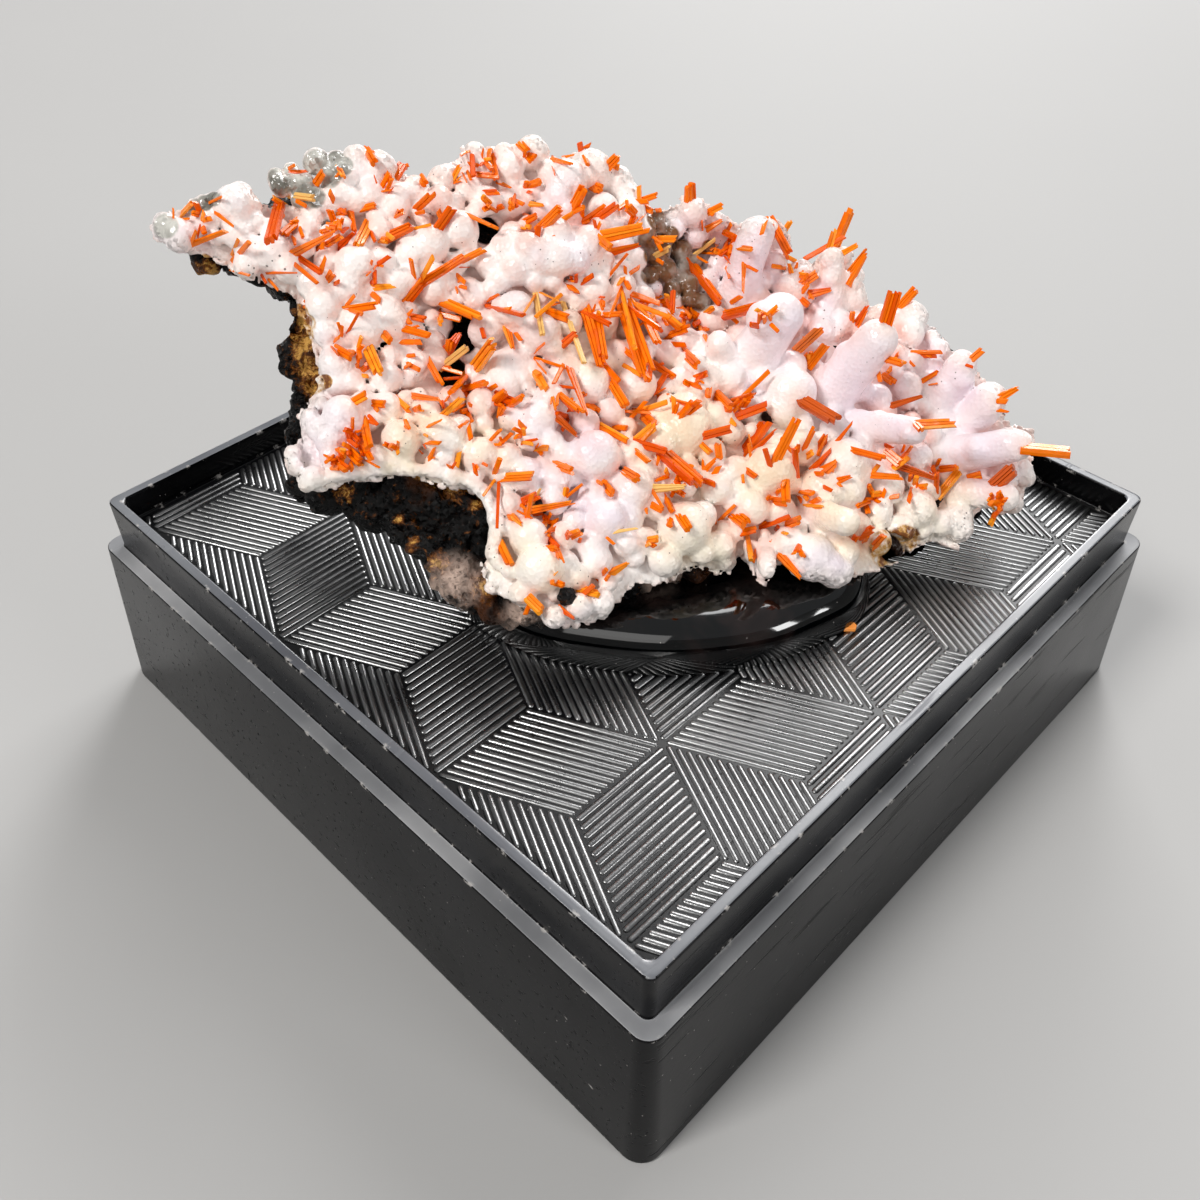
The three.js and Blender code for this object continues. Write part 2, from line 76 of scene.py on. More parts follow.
toward_eye = np.array([
    math.sin(VIEW_AZIMUTH) * math.cos(VIEW_ELEVATION),
    -math.cos(VIEW_AZIMUTH) * math.cos(VIEW_ELEVATION),
    math.sin(VIEW_ELEVATION),
])
side = np.cross([0, 0, 1], toward_eye)
side /= np.linalg.norm(side)
view_right = side * math.cos(VIEW_ROLL) + np.cross(toward_eye, side) * math.sin(VIEW_ROLL)
view_up = np.cross(toward_eye, view_right)
away = np.array([-side[1], side[0], 0])
face_normal = np.array([0, 0, 1]) - FACE_FALL_TO_SIDE * side - FACE_RISE_TO_BACK * away
FACE_TILT = face_normal @ toward_eye / np.linalg.norm(face_normal)


def sight_lines(x, y):
    """Unit directions of the lines of sight through view places."""
    x, y = np.asarray(x, float), np.asarray(y, float)
    line = (
        -toward_eye
        + (x[..., None] - VIEW_CENTRE) / VIEW_LENGTH * view_right
        + (VIEW_CENTRE - y[..., None]) / VIEW_LENGTH * view_up
    )
    return line / np.linalg.norm(line, axis=-1, keepdims=True)


def reaches(lines):
    """How far along each line of sight the face plane lies."""
    return (FACE_HEIGHT - EYE @ face_normal) / (lines @ face_normal)


def place(x, y, height=0.0):
    """Points seen at view places that stand a height off the face plane."""
    lines = sight_lines(x, y)
    return EYE + lines * (reaches(lines) - height)[..., None]


def view_size(x, y, units):
    """A length of view units on the face at a view place, in mm."""
    return units * reaches(sight_lines(x, y)) / VIEW_LENGTH


# ---- Places read off the specimen, in view units ----

# Heights of the face off its plane, in mm, at places across it.
FACE_RELIEF = [
    (155, 226, 0.4), (240, 195, 1.0), (235, 245, 0.5), (280, 260, 0.9), (330, 200, 0.4),
    (355, 165, 0.6), (355, 265, 0.9), (325, 305, 0.8), (400, 195, 0.7), (430, 245, 0.9),
    (470, 160, 0.4), (470, 230, 0.9), (530, 155, 0.5), (520, 205, -0.2), (550, 250, 2.0),
    (590, 250, 1.8), (560, 185, 0.8), (590, 170, 0.6), (625, 190, 0.3), (640, 235, 0.2),
    (600, 295, 0.6), (520, 300, 1.1), (470, 290, 0.4), (365, 325, 0.6), (390, 325, 0.2),
    (440, 345, -0.6), (470, 350, -1.2), (405, 355, -0.2), (385, 378, 0.3), (505, 365, 0.4),
    (540, 335, 0.9), (590, 385, 0.9), (635, 340, -0.4), (635, 385, 0.5), (690, 205, 0.3),
    (675, 260, -1.6), (700, 290, -1.2), (730, 300, -0.6), (715, 385, 0.3), (684, 429, 1.2),
    (740, 430, 1.0), (785, 395, 1.2), (770, 470, 1.6), (820, 300, -0.5), (880, 320, -0.5),
    (910, 340, 0.2), (860, 400, 0.8), (915, 400, 0.4), (950, 380, 0.3), (985, 420, 0.5),
    (842, 465, 1.8), (914, 460, 1.2), (960, 490, 0.9), (1010, 470, 1.2), (900, 505, 1.0),
    (950, 525, 0.6), (905, 545, 0.9), (820, 500, 1.5), (811, 557, 2.0), (850, 565, 1.9),
    (770, 520, 1.3), (770, 565, 1.4), (735, 550, 0.8), (685, 528, 1.6), (665, 565, 1.0),
    (720, 490, 1.4), (640, 490, 1.3), (594, 457, 1.4), (606, 521, 1.3), (620, 580, 1.2),
    (565, 620, 1.5), (540, 570, 1.5), (515, 595, 1.2), (500, 550, 0.9), (530, 475, 0.9),
    (540, 420, 1.0), (480, 456, 0.9), (480, 490, 0.8), (440, 435, 1.0), (401, 440, 0.7),
    (350, 425, 0.7), (330, 470, 0.5), (300, 455, 0.2), (330, 390, -0.2), (315, 350, -0.4),
    (300, 310, -0.2),
]

# Thickness of the dark rock under the crust, in mm, away from its broken edge.
ROCK_DEPTH = [
    (180, 235, 0.7), (300, 230, 1.8), (300, 330, 2.2), (420, 220, 2.6), (560, 180, 2.2),
    (690, 230, 2.2), (780, 290, 2.4), (900, 350, 2.2), (1000, 440, 1.2), (420, 380, 4.2),
    (560, 330, 4.5), (700, 380, 4.8), (830, 430, 3.4), (330, 460, 3.2), (440, 520, 5.0),
    (560, 480, 6.0), (560, 590, 5.0), (680, 500, 6.0), (780, 520, 4.5), (900, 520, 1.4),
]

# Edge of the crust.
CRUST_EDGE = [
    (153, 226), (160, 216), (180, 212), (195, 203), (212, 200), (228, 193), (241, 187), (255, 196),
    (262, 205), (290, 208), (318, 196), (325, 180), (340, 168), (352, 153), (362, 150), (378, 158),
    (395, 172), (412, 178), (425, 186), (440, 176), (450, 168), (458, 160), (463, 150), (480, 146),
    (495, 150), (505, 147), (520, 143), (535, 143), (548, 152), (556, 160), (575, 156), (592, 154),
    (606, 160), (620, 170), (630, 185), (636, 200), (648, 210), (655, 215), (678, 205), (684, 198),
    (700, 198), (712, 210), (722, 215), (738, 228), (745, 225), (755, 220), (768, 219), (782, 225),
    (790, 240), (787, 262), (795, 285), (805, 285), (812, 265), (822, 255), (833, 248), (850, 250),
    (858, 270), (862, 290), (868, 305), (874, 312), (890, 305), (908, 304), (920, 312), (927, 325),
    (935, 330), (946, 345), (955, 354), (966, 358), (975, 370), (985, 385), (995, 395), (1003, 410),
    (1008, 425), (1020, 428), (1032, 432), (1033, 445), (1032, 460), (1030, 472), (1024, 485),
    (1022, 500), (1015, 512), (1000, 512), (985, 508), (972, 512), (965, 530), (957, 548), (945, 545),
    (935, 540), (920, 545), (905, 552), (895, 562), (885, 568), (855, 575), (843, 580), (825, 577),
    (805, 573), (797, 572), (785, 560), (772, 568), (765, 585), (757, 580), (750, 563), (740, 558),
    (728, 573), (715, 572), (700, 567), (685, 570), (672, 580), (655, 585), (640, 582), (625, 590),
    (612, 605), (600, 617), (585, 624), (565, 627), (548, 620), (538, 612), (520, 605), (505, 595),
    (487, 588), (482, 565), (497, 550), (497, 530), (490, 505), (470, 490), (440, 487), (420, 478),
    (400, 475), (380, 480), (360, 480), (340, 485), (325, 492), (310, 488), (298, 480), (290, 470),
    (288, 455), (298, 445), (305, 430), (300, 415), (312, 400), (320, 390), (318, 360), (312, 345),
    (308, 330), (300, 312), (298, 300), (290, 292), (270, 285), (250, 277), (235, 270), (220, 262),
    (205, 255), (190, 250), (178, 243), (165, 240), (157, 238),
]

# Rounded lumps of the crust: x, y and radius.
LUMPS = [
    (181, 236, 15), (210, 218, 11), (233, 206, 18), (241, 195, 12), (239, 234, 15), (256, 223, 10),
    (273, 253, 18), (246, 266, 12), (289, 268, 15), (306, 229, 13), (314, 213, 12), (322, 203, 12),
    (339, 198, 15), (344, 178, 13), (356, 158, 12), (364, 170, 13), (380, 168, 15), (372, 195, 15),
    (395, 211, 12), (380, 233, 13), (356, 266, 20), (380, 264, 16), (314, 284, 16), (346, 288, 17),
    (360, 293, 11), (324, 306, 17), (342, 299, 10), (364, 331, 20), (327, 331, 15), (389, 356, 12),
    (336, 364, 18), (398, 198, 15), (416, 189, 12), (441, 180, 13), (448, 175, 11), (439, 201, 14),
    (430, 244, 18), (412, 255, 17), (460, 230, 18), (475, 155, 12), (505, 153, 10), (532, 153, 16),
    (509, 169, 14), (591, 171, 20), (617, 182, 14), (626, 194, 12), (566, 182, 20), (550, 173, 12),
    (535, 192, 9), (487, 201, 14), (469, 189, 13), (559, 198, 15), (603, 209, 15), (630, 214, 15),
    (512, 234, 12), (509, 251, 19), (516, 269, 16), (528, 251, 17), (555, 237, 18), (541, 259, 17),
    (559, 259, 17), (589, 244, 17), (575, 259, 15), (535, 282, 10), (553, 282, 10), (641, 230, 15),
    (634, 260, 13), (594, 291, 17), (516, 310, 18), (482, 332, 16), (494, 325, 14), (516, 362, 17),
    (505, 385, 16), (469, 291, 13), (475, 303, 10), (434, 342, 12), (403, 351, 15), (541, 335, 20),
    (555, 350, 14), (569, 323, 13), (591, 384, 20), (617, 357, 17), (635, 385, 20), (551, 401, 18),
    (391, 325, 20), (396, 284, 15), (410, 278, 14), (434, 291, 14), (432, 319, 10), (692, 213, 14),
    (675, 229, 10), (697, 236, 12), (715, 222, 10), (713, 320, 15), (668, 354, 14), (634, 357, 19),
    (641, 384, 16), (679, 381, 14), (697, 393, 16), (709, 381, 16), (731, 381, 18), (684, 429, 28),
    (718, 420, 18), (731, 432, 14), (666, 386, 11), (790, 393, 25), (791, 366, 15), (781, 407, 20),
    (854, 277, 10), (850, 295, 14), (822, 313, 14), (841, 322, 12), (879, 316, 11), (911, 318, 16),
    (907, 334, 16), (932, 337, 7), (939, 350, 10), (914, 364, 14), (907, 386, 14), (877, 398, 14),
    (921, 407, 10), (859, 448, 14), (854, 470, 20), (914, 459, 17), (886, 486, 17), (821, 491, 24),
    (916, 509, 19), (952, 496, 7), (957, 518, 15), (878, 509, 14), (1014, 504, 9), (1021, 470, 11),
    (1026, 478, 9), (939, 523, 14), (961, 529, 12), (359, 323, 21), (386, 313, 18), (330, 335, 14),
    (343, 416, 20), (330, 439, 16), (349, 426, 15), (318, 429, 12), (310, 418, 10), (293, 454, 8),
    (296, 467, 8), (386, 378, 16), (386, 409, 17), (401, 439, 19), (376, 459, 14), (426, 413, 15),
    (451, 399, 13), (439, 434, 20), (459, 429, 14), (482, 403, 15), (480, 456, 19), (489, 326, 17),
    (505, 310, 14), (505, 363, 14), (500, 379, 13), (449, 439, 18), (525, 475, 18), (508, 457, 14),
    (540, 417, 19), (551, 400, 15), (529, 437, 14), (551, 444, 14), (556, 480, 16), (594, 457, 26),
    (586, 423, 14), (611, 412, 14), (633, 455, 17), (633, 491, 23), (594, 496, 16), (661, 442, 20),
    (645, 473, 16), (554, 501, 14), (606, 521, 22), (627, 516, 17), (627, 544, 14), (597, 562, 16),
    (592, 546, 15), (529, 537, 19), (540, 569, 24), (565, 564, 14), (511, 505, 13), (685, 528, 26),
    (702, 516, 15), (665, 560, 17), (702, 551, 14), (686, 409, 18), (601, 603, 14), (554, 617, 12),
    (519, 594, 12), (720, 546, 16), (726, 561, 10), (769, 471, 26), (801, 448, 18), (842, 462, 24),
    (845, 489, 20), (851, 487, 14), (751, 507, 18), (779, 511, 16), (811, 557, 23), (827, 566, 16),
    (788, 543, 16), (845, 552, 14), (877, 516, 13), (837, 571, 16), (797, 295, 15), (790, 327, 13),
    (831, 256, 9), (843, 256, 9), (717, 489, 16), (736, 471, 15), (742, 486, 13), (800, 276, 15),
    (786, 288, 14), (812, 290, 13),
]

# Stalactite fingers: root x, y, tip x, y, radius at root and tip, and how far the tip stands
# off the face in mm.
FINGERS = [
    (734, 300, 757, 234, 19, 17, 2.2), (745, 366, 781, 316, 24, 22, 3.2),
    (731, 372, 719, 343, 15, 13, 1.6), (831, 305, 832, 258, 18, 11, 1.8),
    (854, 300, 850, 280, 14, 10, 1.0), (831, 393, 877, 340, 25, 19, 4.2),
    (936, 411, 961, 366, 18, 15, 2.2), (961, 432, 989, 400, 20, 17, 2.4),
    (854, 425, 913, 431, 16, 13, 3.6), (948, 457, 1012, 445, 19, 16, 3.0),
    (955, 491, 1005, 497, 16, 13, 1.8), (810, 510, 846, 522, 15, 13, 2.6),
    (765, 552, 767, 570, 11, 8, 1.8),
]

# Crocoite prisms: foot x, y, tip x, y and width.
PRISMS = [
    (190, 245, 223, 232, 5), (231, 263, 250, 241, 5), (179, 217, 190, 205, 5), (206, 205, 233, 226, 4),
    (263, 196, 271, 238, 10), (279, 205, 281, 215, 3), (299, 220, 284, 233, 7), (293, 233, 295, 243, 5),
    (289, 256, 331, 234, 8), (316, 251, 341, 236, 6), (357, 210, 375, 205, 6), (351, 210, 354, 229, 5),
    (369, 223, 359, 243, 10), (337, 249, 354, 233, 7), (385, 239, 408, 228, 9), (367, 150, 374, 162, 7),
    (338, 166, 343, 176, 5), (314, 186, 322, 174, 7), (284, 173, 306, 171, 5), (289, 195, 312, 198, 6),
    (380, 190, 389, 173, 4), (385, 195, 391, 181, 4), (394, 178, 403, 164, 9), (319, 276, 325, 259, 5),
    (326, 284, 332, 273, 7), (303, 302, 316, 292, 4), (341, 311, 372, 306, 8), (367, 288, 392, 286, 8),
    (375, 266, 390, 256, 4), (374, 269, 375, 283, 4), (343, 341, 357, 316, 2.5),
    (333, 347, 351, 357, 8), (367, 346, 378, 371, 12), (359, 372, 369, 365, 6), (263, 273, 294, 273, 3),
    (417, 173, 425, 184, 7), (450, 184, 459, 167, 5), (409, 216, 430, 196, 7), (393, 217, 402, 212, 5),
    (437, 230, 451, 210, 9), (409, 230, 430, 225, 3), (466, 214, 492, 226, 6), (405, 303, 421, 284, 10),
    (416, 287, 460, 259, 9), (451, 266, 481, 251, 6), (441, 301, 475, 316, 9), (439, 314, 459, 319, 5),
    (455, 285, 467, 288, 3), (409, 316, 423, 319, 6), (401, 328, 426, 335, 8), (391, 342, 420, 342, 5),
    (403, 362, 417, 369, 5), (423, 351, 439, 380, 6), (446, 353, 459, 334, 12), (439, 369, 466, 348, 7),
    (459, 384, 491, 346, 13), (444, 375, 451, 392, 8), (466, 387, 485, 387, 3), (455, 385, 471, 405, 5),
    (398, 394, 435, 399, 8), (494, 394, 516, 403, 8), (472, 151, 473, 175, 4), (492, 153, 496, 178, 6),
    (464, 173, 494, 176, 5), (519, 141, 526, 150, 8), (525, 151, 531, 160, 7), (525, 187, 539, 182, 7),
    (498, 182, 509, 187, 5), (528, 204, 542, 205, 6), (480, 193, 496, 192, 5), (523, 223, 534, 217, 7),
    (537, 232, 559, 210, 10), (569, 216, 582, 191, 9), (580, 225, 605, 207, 7), (591, 223, 614, 207, 7),
    (601, 237, 644, 228, 11), (609, 253, 635, 246, 8), (591, 185, 600, 189, 9), (551, 160, 571, 164, 6),
    (560, 146, 573, 155, 3), (607, 167, 617, 157, 9), (535, 291, 542, 332, 5), (485, 305, 523, 315, 6),
    (544, 310, 564, 317, 8), (480, 323, 484, 337, 4), (507, 328, 512, 346, 9), (532, 357, 560, 366, 3),
    (535, 371, 544, 387, 8), (566, 284, 576, 291, 7), (578, 285, 592, 276, 5), (600, 299, 603, 307, 5),
    (562, 300, 582, 357, 5), (585, 307, 600, 360, 11), (596, 314, 603, 355, 10),
    (596, 316, 619, 314, 6), (621, 287, 634, 344, 6), (626, 301, 648, 360, 8), (628, 344, 644, 375, 8),
    (600, 360, 619, 382, 5), (610, 380, 625, 405, 9), (567, 362, 585, 410, 8), (557, 392, 575, 410, 6),
    (559, 348, 575, 334, 8), (607, 278, 628, 253, 3), (690, 202, 690, 186, 11), (707, 213, 721, 206, 6),
    (704, 231, 722, 220, 7), (654, 239, 674, 239, 6), (649, 259, 668, 249, 6), (688, 259, 718, 299, 10),
    (693, 256, 713, 241, 4), (727, 266, 729, 277, 5), (744, 261, 743, 288, 5), (770, 218, 788, 252, 8),
    (784, 231, 790, 222, 6), (799, 286, 815, 275, 8), (806, 295, 829, 290, 9), (829, 249, 834, 232, 6),
    (835, 247, 849, 213, 9), (845, 284, 865, 254, 12), (852, 332, 866, 309, 10),
    (885, 325, 894, 295, 11), (898, 309, 914, 291, 8), (722, 316, 757, 307, 9), (700, 325, 707, 341, 7),
    (795, 352, 818, 331, 9), (807, 368, 824, 347, 9), (732, 407, 768, 372, 4), (734, 404, 752, 395, 12),
    (715, 393, 729, 407, 10), (734, 418, 763, 407, 8), (682, 350, 695, 363, 9), (693, 379, 706, 374, 6),
    (654, 393, 665, 375, 6), (656, 397, 688, 404, 7), (677, 420, 691, 404, 8), (627, 415, 661, 404, 5),
    (641, 413, 654, 425, 10), (638, 443, 652, 427, 8), (652, 363, 674, 377, 7), (620, 302, 643, 374, 9),
    (638, 302, 656, 340, 9), (663, 313, 679, 327, 8), (672, 313, 673, 293, 5), (688, 307, 693, 318, 6),
    (663, 338, 686, 329, 7), (744, 455, 765, 425, 12), (751, 454, 774, 432, 6),
    (772, 468, 794, 425, 10), (797, 480, 795, 452, 6), (799, 459, 813, 430, 5), (815, 454, 824, 437, 9),
    (811, 471, 829, 452, 7), (820, 477, 835, 464, 7), (835, 482, 849, 477, 7), (800, 399, 832, 418, 12),
    (881, 374, 893, 382, 7), (911, 354, 937, 354, 7), (966, 364, 982, 350, 6), (995, 400, 1016, 389, 9),
    (921, 382, 936, 373, 5), (885, 408, 923, 396, 7), (914, 425, 950, 423, 9),
    (1021, 448, 1064, 452, 11), (993, 487, 1012, 470, 13), (937, 498, 959, 471, 8),
    (932, 470, 952, 468, 7), (895, 464, 932, 477, 9), (902, 459, 912, 446, 4), (879, 446, 898, 462, 9),
    (837, 446, 879, 457, 6), (868, 475, 898, 477, 6), (864, 500, 868, 512, 5), (968, 479, 980, 475, 9),
    (805, 507, 821, 507, 7), (800, 491, 811, 493, 6), (352, 403, 364, 396, 8), (369, 403, 383, 404, 7),
    (358, 439, 366, 451, 10), (333, 459, 346, 469, 8), (346, 447, 359, 461, 10),
    (363, 418, 369, 446, 8), (404, 423, 409, 428, 8), (413, 411, 419, 408, 5), (422, 429, 439, 421, 5),
    (442, 416, 461, 399, 6), (441, 399, 444, 408, 6), (467, 419, 471, 439, 4), (422, 442, 439, 443, 4),
    (427, 464, 434, 449, 6), (456, 469, 459, 454, 5), (474, 462, 476, 474, 5), (489, 442, 499, 431, 4),
    (497, 447, 511, 434, 4), (492, 403, 505, 393, 9), (500, 411, 519, 399, 8), (493, 478, 527, 476, 9),
    (499, 479, 497, 528, 3), (499, 541, 510, 564, 8), (510, 514, 520, 523, 7), (517, 444, 538, 439, 5),
    (535, 448, 547, 448, 6), (556, 392, 579, 410, 6), (554, 414, 577, 435, 8), (586, 403, 597, 410, 8),
    (599, 425, 624, 439, 7), (552, 463, 572, 471, 8), (565, 498, 583, 484, 5), (520, 503, 536, 496, 8),
    (529, 510, 540, 489, 4), (522, 512, 569, 503, 9), (552, 541, 561, 559, 9), (567, 537, 579, 532, 9),
    (602, 534, 638, 528, 5), (602, 482, 611, 492, 8), (624, 471, 636, 478, 9), (636, 441, 654, 426, 9),
    (633, 442, 665, 451, 8), (661, 451, 695, 480, 13), (651, 489, 683, 487, 9), (649, 503, 661, 510, 7),
    (665, 496, 672, 510, 8), (679, 514, 688, 528, 10), (644, 541, 656, 539, 7),
    (606, 576, 627, 564, 10), (554, 582, 563, 585, 7), (526, 596, 540, 610, 10),
    (558, 607, 572, 617, 6), (579, 589, 597, 594, 9), (699, 476, 715, 460, 7), (677, 419, 699, 403, 8),
    (699, 437, 726, 430, 8), (717, 441, 719, 457, 7), (713, 477, 719, 466, 5), (692, 466, 695, 484, 6),
    (743, 468, 756, 477, 6), (785, 480, 786, 500, 8), (769, 500, 783, 502, 8), (799, 491, 810, 493, 6),
    (735, 534, 756, 529, 8), (756, 529, 788, 517, 5), (776, 529, 797, 521, 8), (715, 525, 733, 507, 4),
    (733, 514, 745, 523, 12), (747, 536, 751, 557, 8), (769, 543, 797, 573, 11),
    (870, 550, 883, 536, 7), (860, 537, 872, 529, 8),
]

# Smooth grey balls along the top edge of the crust: x, y and radius.
GREY_BALLS = [
    (166, 226, 12), (276, 176, 8), (281, 186, 10), (293, 183, 9), (316, 162, 12), (324, 166, 8),
    (336, 160, 9), (302, 186, 12), (314, 197, 11), (330, 178, 10), (344, 166, 9), (300, 199, 9),
    (291, 170, 7), (196, 207, 8), (205, 203, 8), (214, 199, 7),
]

# Brown glassy balls where the crust is open: x, y and radius.
BROWN_BALLS = [
    (656, 218, 9), (659, 227, 7), (681, 250, 11), (664, 270, 13), (690, 286, 12), (679, 277, 9),
    (702, 302, 9), (709, 247, 7), (648, 240, 10), (655, 255, 11), (670, 235, 9), (684, 268, 10),
    (695, 262, 8), (672, 290, 9), (650, 275, 9), (690, 300, 9), (663, 250, 9),
]

# Outline of the dark rock behind and past the crust.
ROCK_OUTLINE = [
    (192, 234), (250, 214), (350, 196), (480, 186), (560, 190), (620, 204), (690, 232), (760, 276),
    (860, 315), (920, 330), (980, 395), (1005, 440), (1002, 485), (965, 520), (935, 552), (905, 566),
    (868, 562), (800, 566), (740, 560), (690, 574), (650, 584), (600, 610), (560, 622), (500, 618),
    (451, 601), (428, 561), (387, 528), (338, 508), (300, 490), (286, 434), (298, 396), (281, 355),
    (287, 330), (296, 298), (270, 289), (246, 277), (222, 264), (211, 271), (199, 262),
]

# Round zones of the rock, as x, y and radius: pale, and golden.
PALE_ROCK = [(455, 582, 34), (520, 616, 24), (665, 585, 26)]
GOLDEN = [
    (210, 268, 16), (306, 345, 28), (308, 365, 26), (316, 386, 22), (300, 322, 18), (890, 548, 40),
    (400, 519, 9), (415, 543, 9), (432, 480, 14), (455, 492, 18), (474, 506, 14), (345, 492, 14),
    (440, 564, 16), (484, 588, 20), (421, 477, 10),
]

# Hollows of the rock: x, y, radius and height off the face plane in mm.
ROCK_HOLLOWS = [
    (900, 532, 24, -1.2), (345, 500, 20, -2.2), (430, 560, 22, -2.6), (300, 330, 14, -1.0),
]

# Holes of the crust: x, y, radius and depth in mm.
PITS = [
    (462, 340, 14, 0.8), (452, 374, 15, 0.8), (463, 322, 10, 0.8), (384, 351, 9, 0.8),
    (486, 231, 12, 0.8), (540, 505, 10, 0.0), (770, 415, 9, 0.0), (893, 547, 14, 0.0),
]

# The smooth raised lip over the hollow at the lower left, from end to end: x, y and radius.
LIP = [
    (306, 484, 7), (320, 480, 6), (337, 475, 6), (362, 472, 5), (390, 469, 5), (412, 469, 5),
    (434, 471, 5), (456, 475, 5), (473, 482, 6), (484, 492, 6), (491, 505, 6), (495, 520, 6),
    (495, 536, 5), (491, 556, 5),
]

# Round zones of the crust, as x, y and radius: cream, rough and sugary, lilac, painted shade (a pink
# darkening of lumps that lie in shade), rusty.
CREAM = [
    (684, 429, 75), (439, 434, 60), (769, 471, 70), (821, 491, 60), (540, 569, 60), (600, 340, 50),
    (480, 456, 50), (700, 525, 65), (845, 545, 55), (930, 503, 50), (425, 445, 60),
]
SUGARY = [
    (779, 312, 14), (884, 328, 12), (916, 509, 30), (957, 518, 25), (601, 603, 25), (554, 617, 25),
    (318, 429, 25), (480, 590, 25),
]
LILAC = [
    (750, 265, 50), (785, 330, 50), (860, 380, 65), (900, 430, 40), (985, 452, 50), (965, 385, 45),
    (590, 440, 30),
]
# Painted shade: zones where the crust's colour is darkened to pink as if shaded.
PAINTED_SHADE_ZONES = [
    (520, 248, 75), (470, 300, 50), (545, 335, 60), (440, 190, 55), (590, 430, 45), (450, 375, 50),
]
RUST = [
    (304, 325, 16), (300, 340, 18), (302, 358, 18), (304, 374, 16), (314, 384, 14), (325, 382, 10),
    (299, 312, 12), (204, 262, 12), (215, 272, 12), (884, 548, 24), (905, 538, 20),
]

# Prisms of unlike colour, by their feet.
PALE_PRISMS = [
    (289, 195), (439, 369), (535, 291), (562, 300), (649, 259), (693, 256), (529, 510),
    (602, 534), (651, 489),
]
DARK_PRISMS = [(800, 399), (885, 408), (993, 487), (895, 464), (554, 414)]

# Patches of crowded small crystals: x, y, radius and how many.
DRUSE = [
    (201, 220, 6, 4), (338, 219, 14, 12), (356, 349, 5, 5), (480, 164, 5, 4), (509, 197, 5, 4),
    (493, 208, 4, 4), (583, 152, 4, 3), (638, 208, 11, 12), (627, 275, 5, 4), (725, 245, 13, 14),
    (794, 269, 8, 6), (767, 320, 10, 7), (688, 385, 5, 4), (878, 495, 9, 8), (912, 487, 6, 5),
    (889, 362, 6, 5), (352, 450, 20, 22), (465, 407, 5, 4), (396, 447, 4, 4), (527, 435, 5, 4),
    (567, 414, 5, 4), (551, 526, 9, 9), (677, 476, 14, 14), (1000, 503, 9, 14), (655, 305, 16, 9),
    (692, 312, 14, 9), (802, 545, 5, 4),
]


# ---- Smooth noise ----


def scatter(cells, seed):
    """A repeatable random number from 0 to 1 for each integer cell."""
    mixed = cells[..., 0] * 73856093 ^ cells[..., 1] * 19349663 ^ cells[..., 2] * 83492791
    mixed = (mixed + seed * 2654435761) & 0xFFFFFFFF
    mixed = ((mixed ^ (mixed >> 15)) * 2246822519) & 0xFFFFFFFF
    mixed = ((mixed ^ (mixed >> 13)) * 3266489917) & 0xFFFFFFFF
    return (mixed ^ (mixed >> 16)) / 0xFFFFFFFF


def noise(points, size, seed=0):
    """Smooth noise from -1 to 1 with lumps of about a size."""
    scaled = points / size
    cells = np.floor(scaled).astype(np.int64)
    share = scaled - cells
    share = share * share * (3 - 2 * share)
    total = 0.0
    for corner in np.ndindex(2, 2, 2):
        weights = np.where(corner, share, 1 - share).prod(axis=-1)
        total = total + weights * scatter(cells + corner, seed)
    return total * 2 - 1


def layered_noise(points, size, layers, seed=0):
    """Noise with finer and weaker layers on top."""
    return sum(noise(points, size / 2 ** i, seed + i) / 2 ** i for i in range(layers))


# ---- Meshes ----


def tube_faces(rings, size, inward=False):
    """Four-sided faces between rings of points, turned outward or inward."""
    faces = []
    for low in range(0, (rings - 1) * size, size):
        for i in range(size):
            j = (i + 1) % size
            if inward:
                faces.append((low + j, low + i, low + size + i, low + size + j))
            else:
                faces.append((low + i, low + j, low + size + j, low + size + i))
    return faces


def closed_tube(rings, size, inward=False):
    """The faces of a tube with a flat face at each end."""
    first, last = tuple(range(size)), tuple(range((rings - 1) * size, rings * size))
    ends = [first, last[::-1]] if inward else [first[::-1], last]
    return tube_faces(rings, size, inward) + ends


def joined(parts):
    """One list of points and one of faces from (points, faces) parts."""
    vertices, faces = [], []
    for points, sides in parts:
        first = len(vertices)
        vertices += points
        faces += [tuple(first + i for i in side) for side in sides]
    return np.array(vertices), faces


def add_piece(name, vertices, faces, material, slot, replaced, smooth=True, **attributes):
    """A mesh object of points in mm, with a number at each vertex for each attribute."""
    mesh = bpy.data.meshes.new(name)
    faces = faces.tolist() if isinstance(faces, np.ndarray) else faces
    mesh.from_pydata((np.asarray(vertices) * MM).tolist(), [], faces)
    for key, values in attributes.items():
        values = np.broadcast_to(np.asarray(values, np.float32), len(vertices))
        mesh.attributes.new(key, "FLOAT", "POINT").data.foreach_set("value", np.ascontiguousarray(values))
    mesh.materials.append(material)
    mesh.shade_smooth() if smooth else mesh.shade_flat()
    piece = bpy.data.objects.new(name, mesh)
    bpy.context.scene.collection.objects.link(piece)
    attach(piece, "root")
    if replaced:
        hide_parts(*replaced)
    return piece


# ---- Shapes as signed distances on a block of the face ----

FAR = 9.0


def smooth_min(a, b, blend):
    overlap = np.maximum(blend - np.abs(a - b), 0) / blend
    return np.minimum(a, b) - overlap ** 2 * blend / 4


def smooth_max(a, b, blend):
    return -smooth_min(-a, -b, blend)


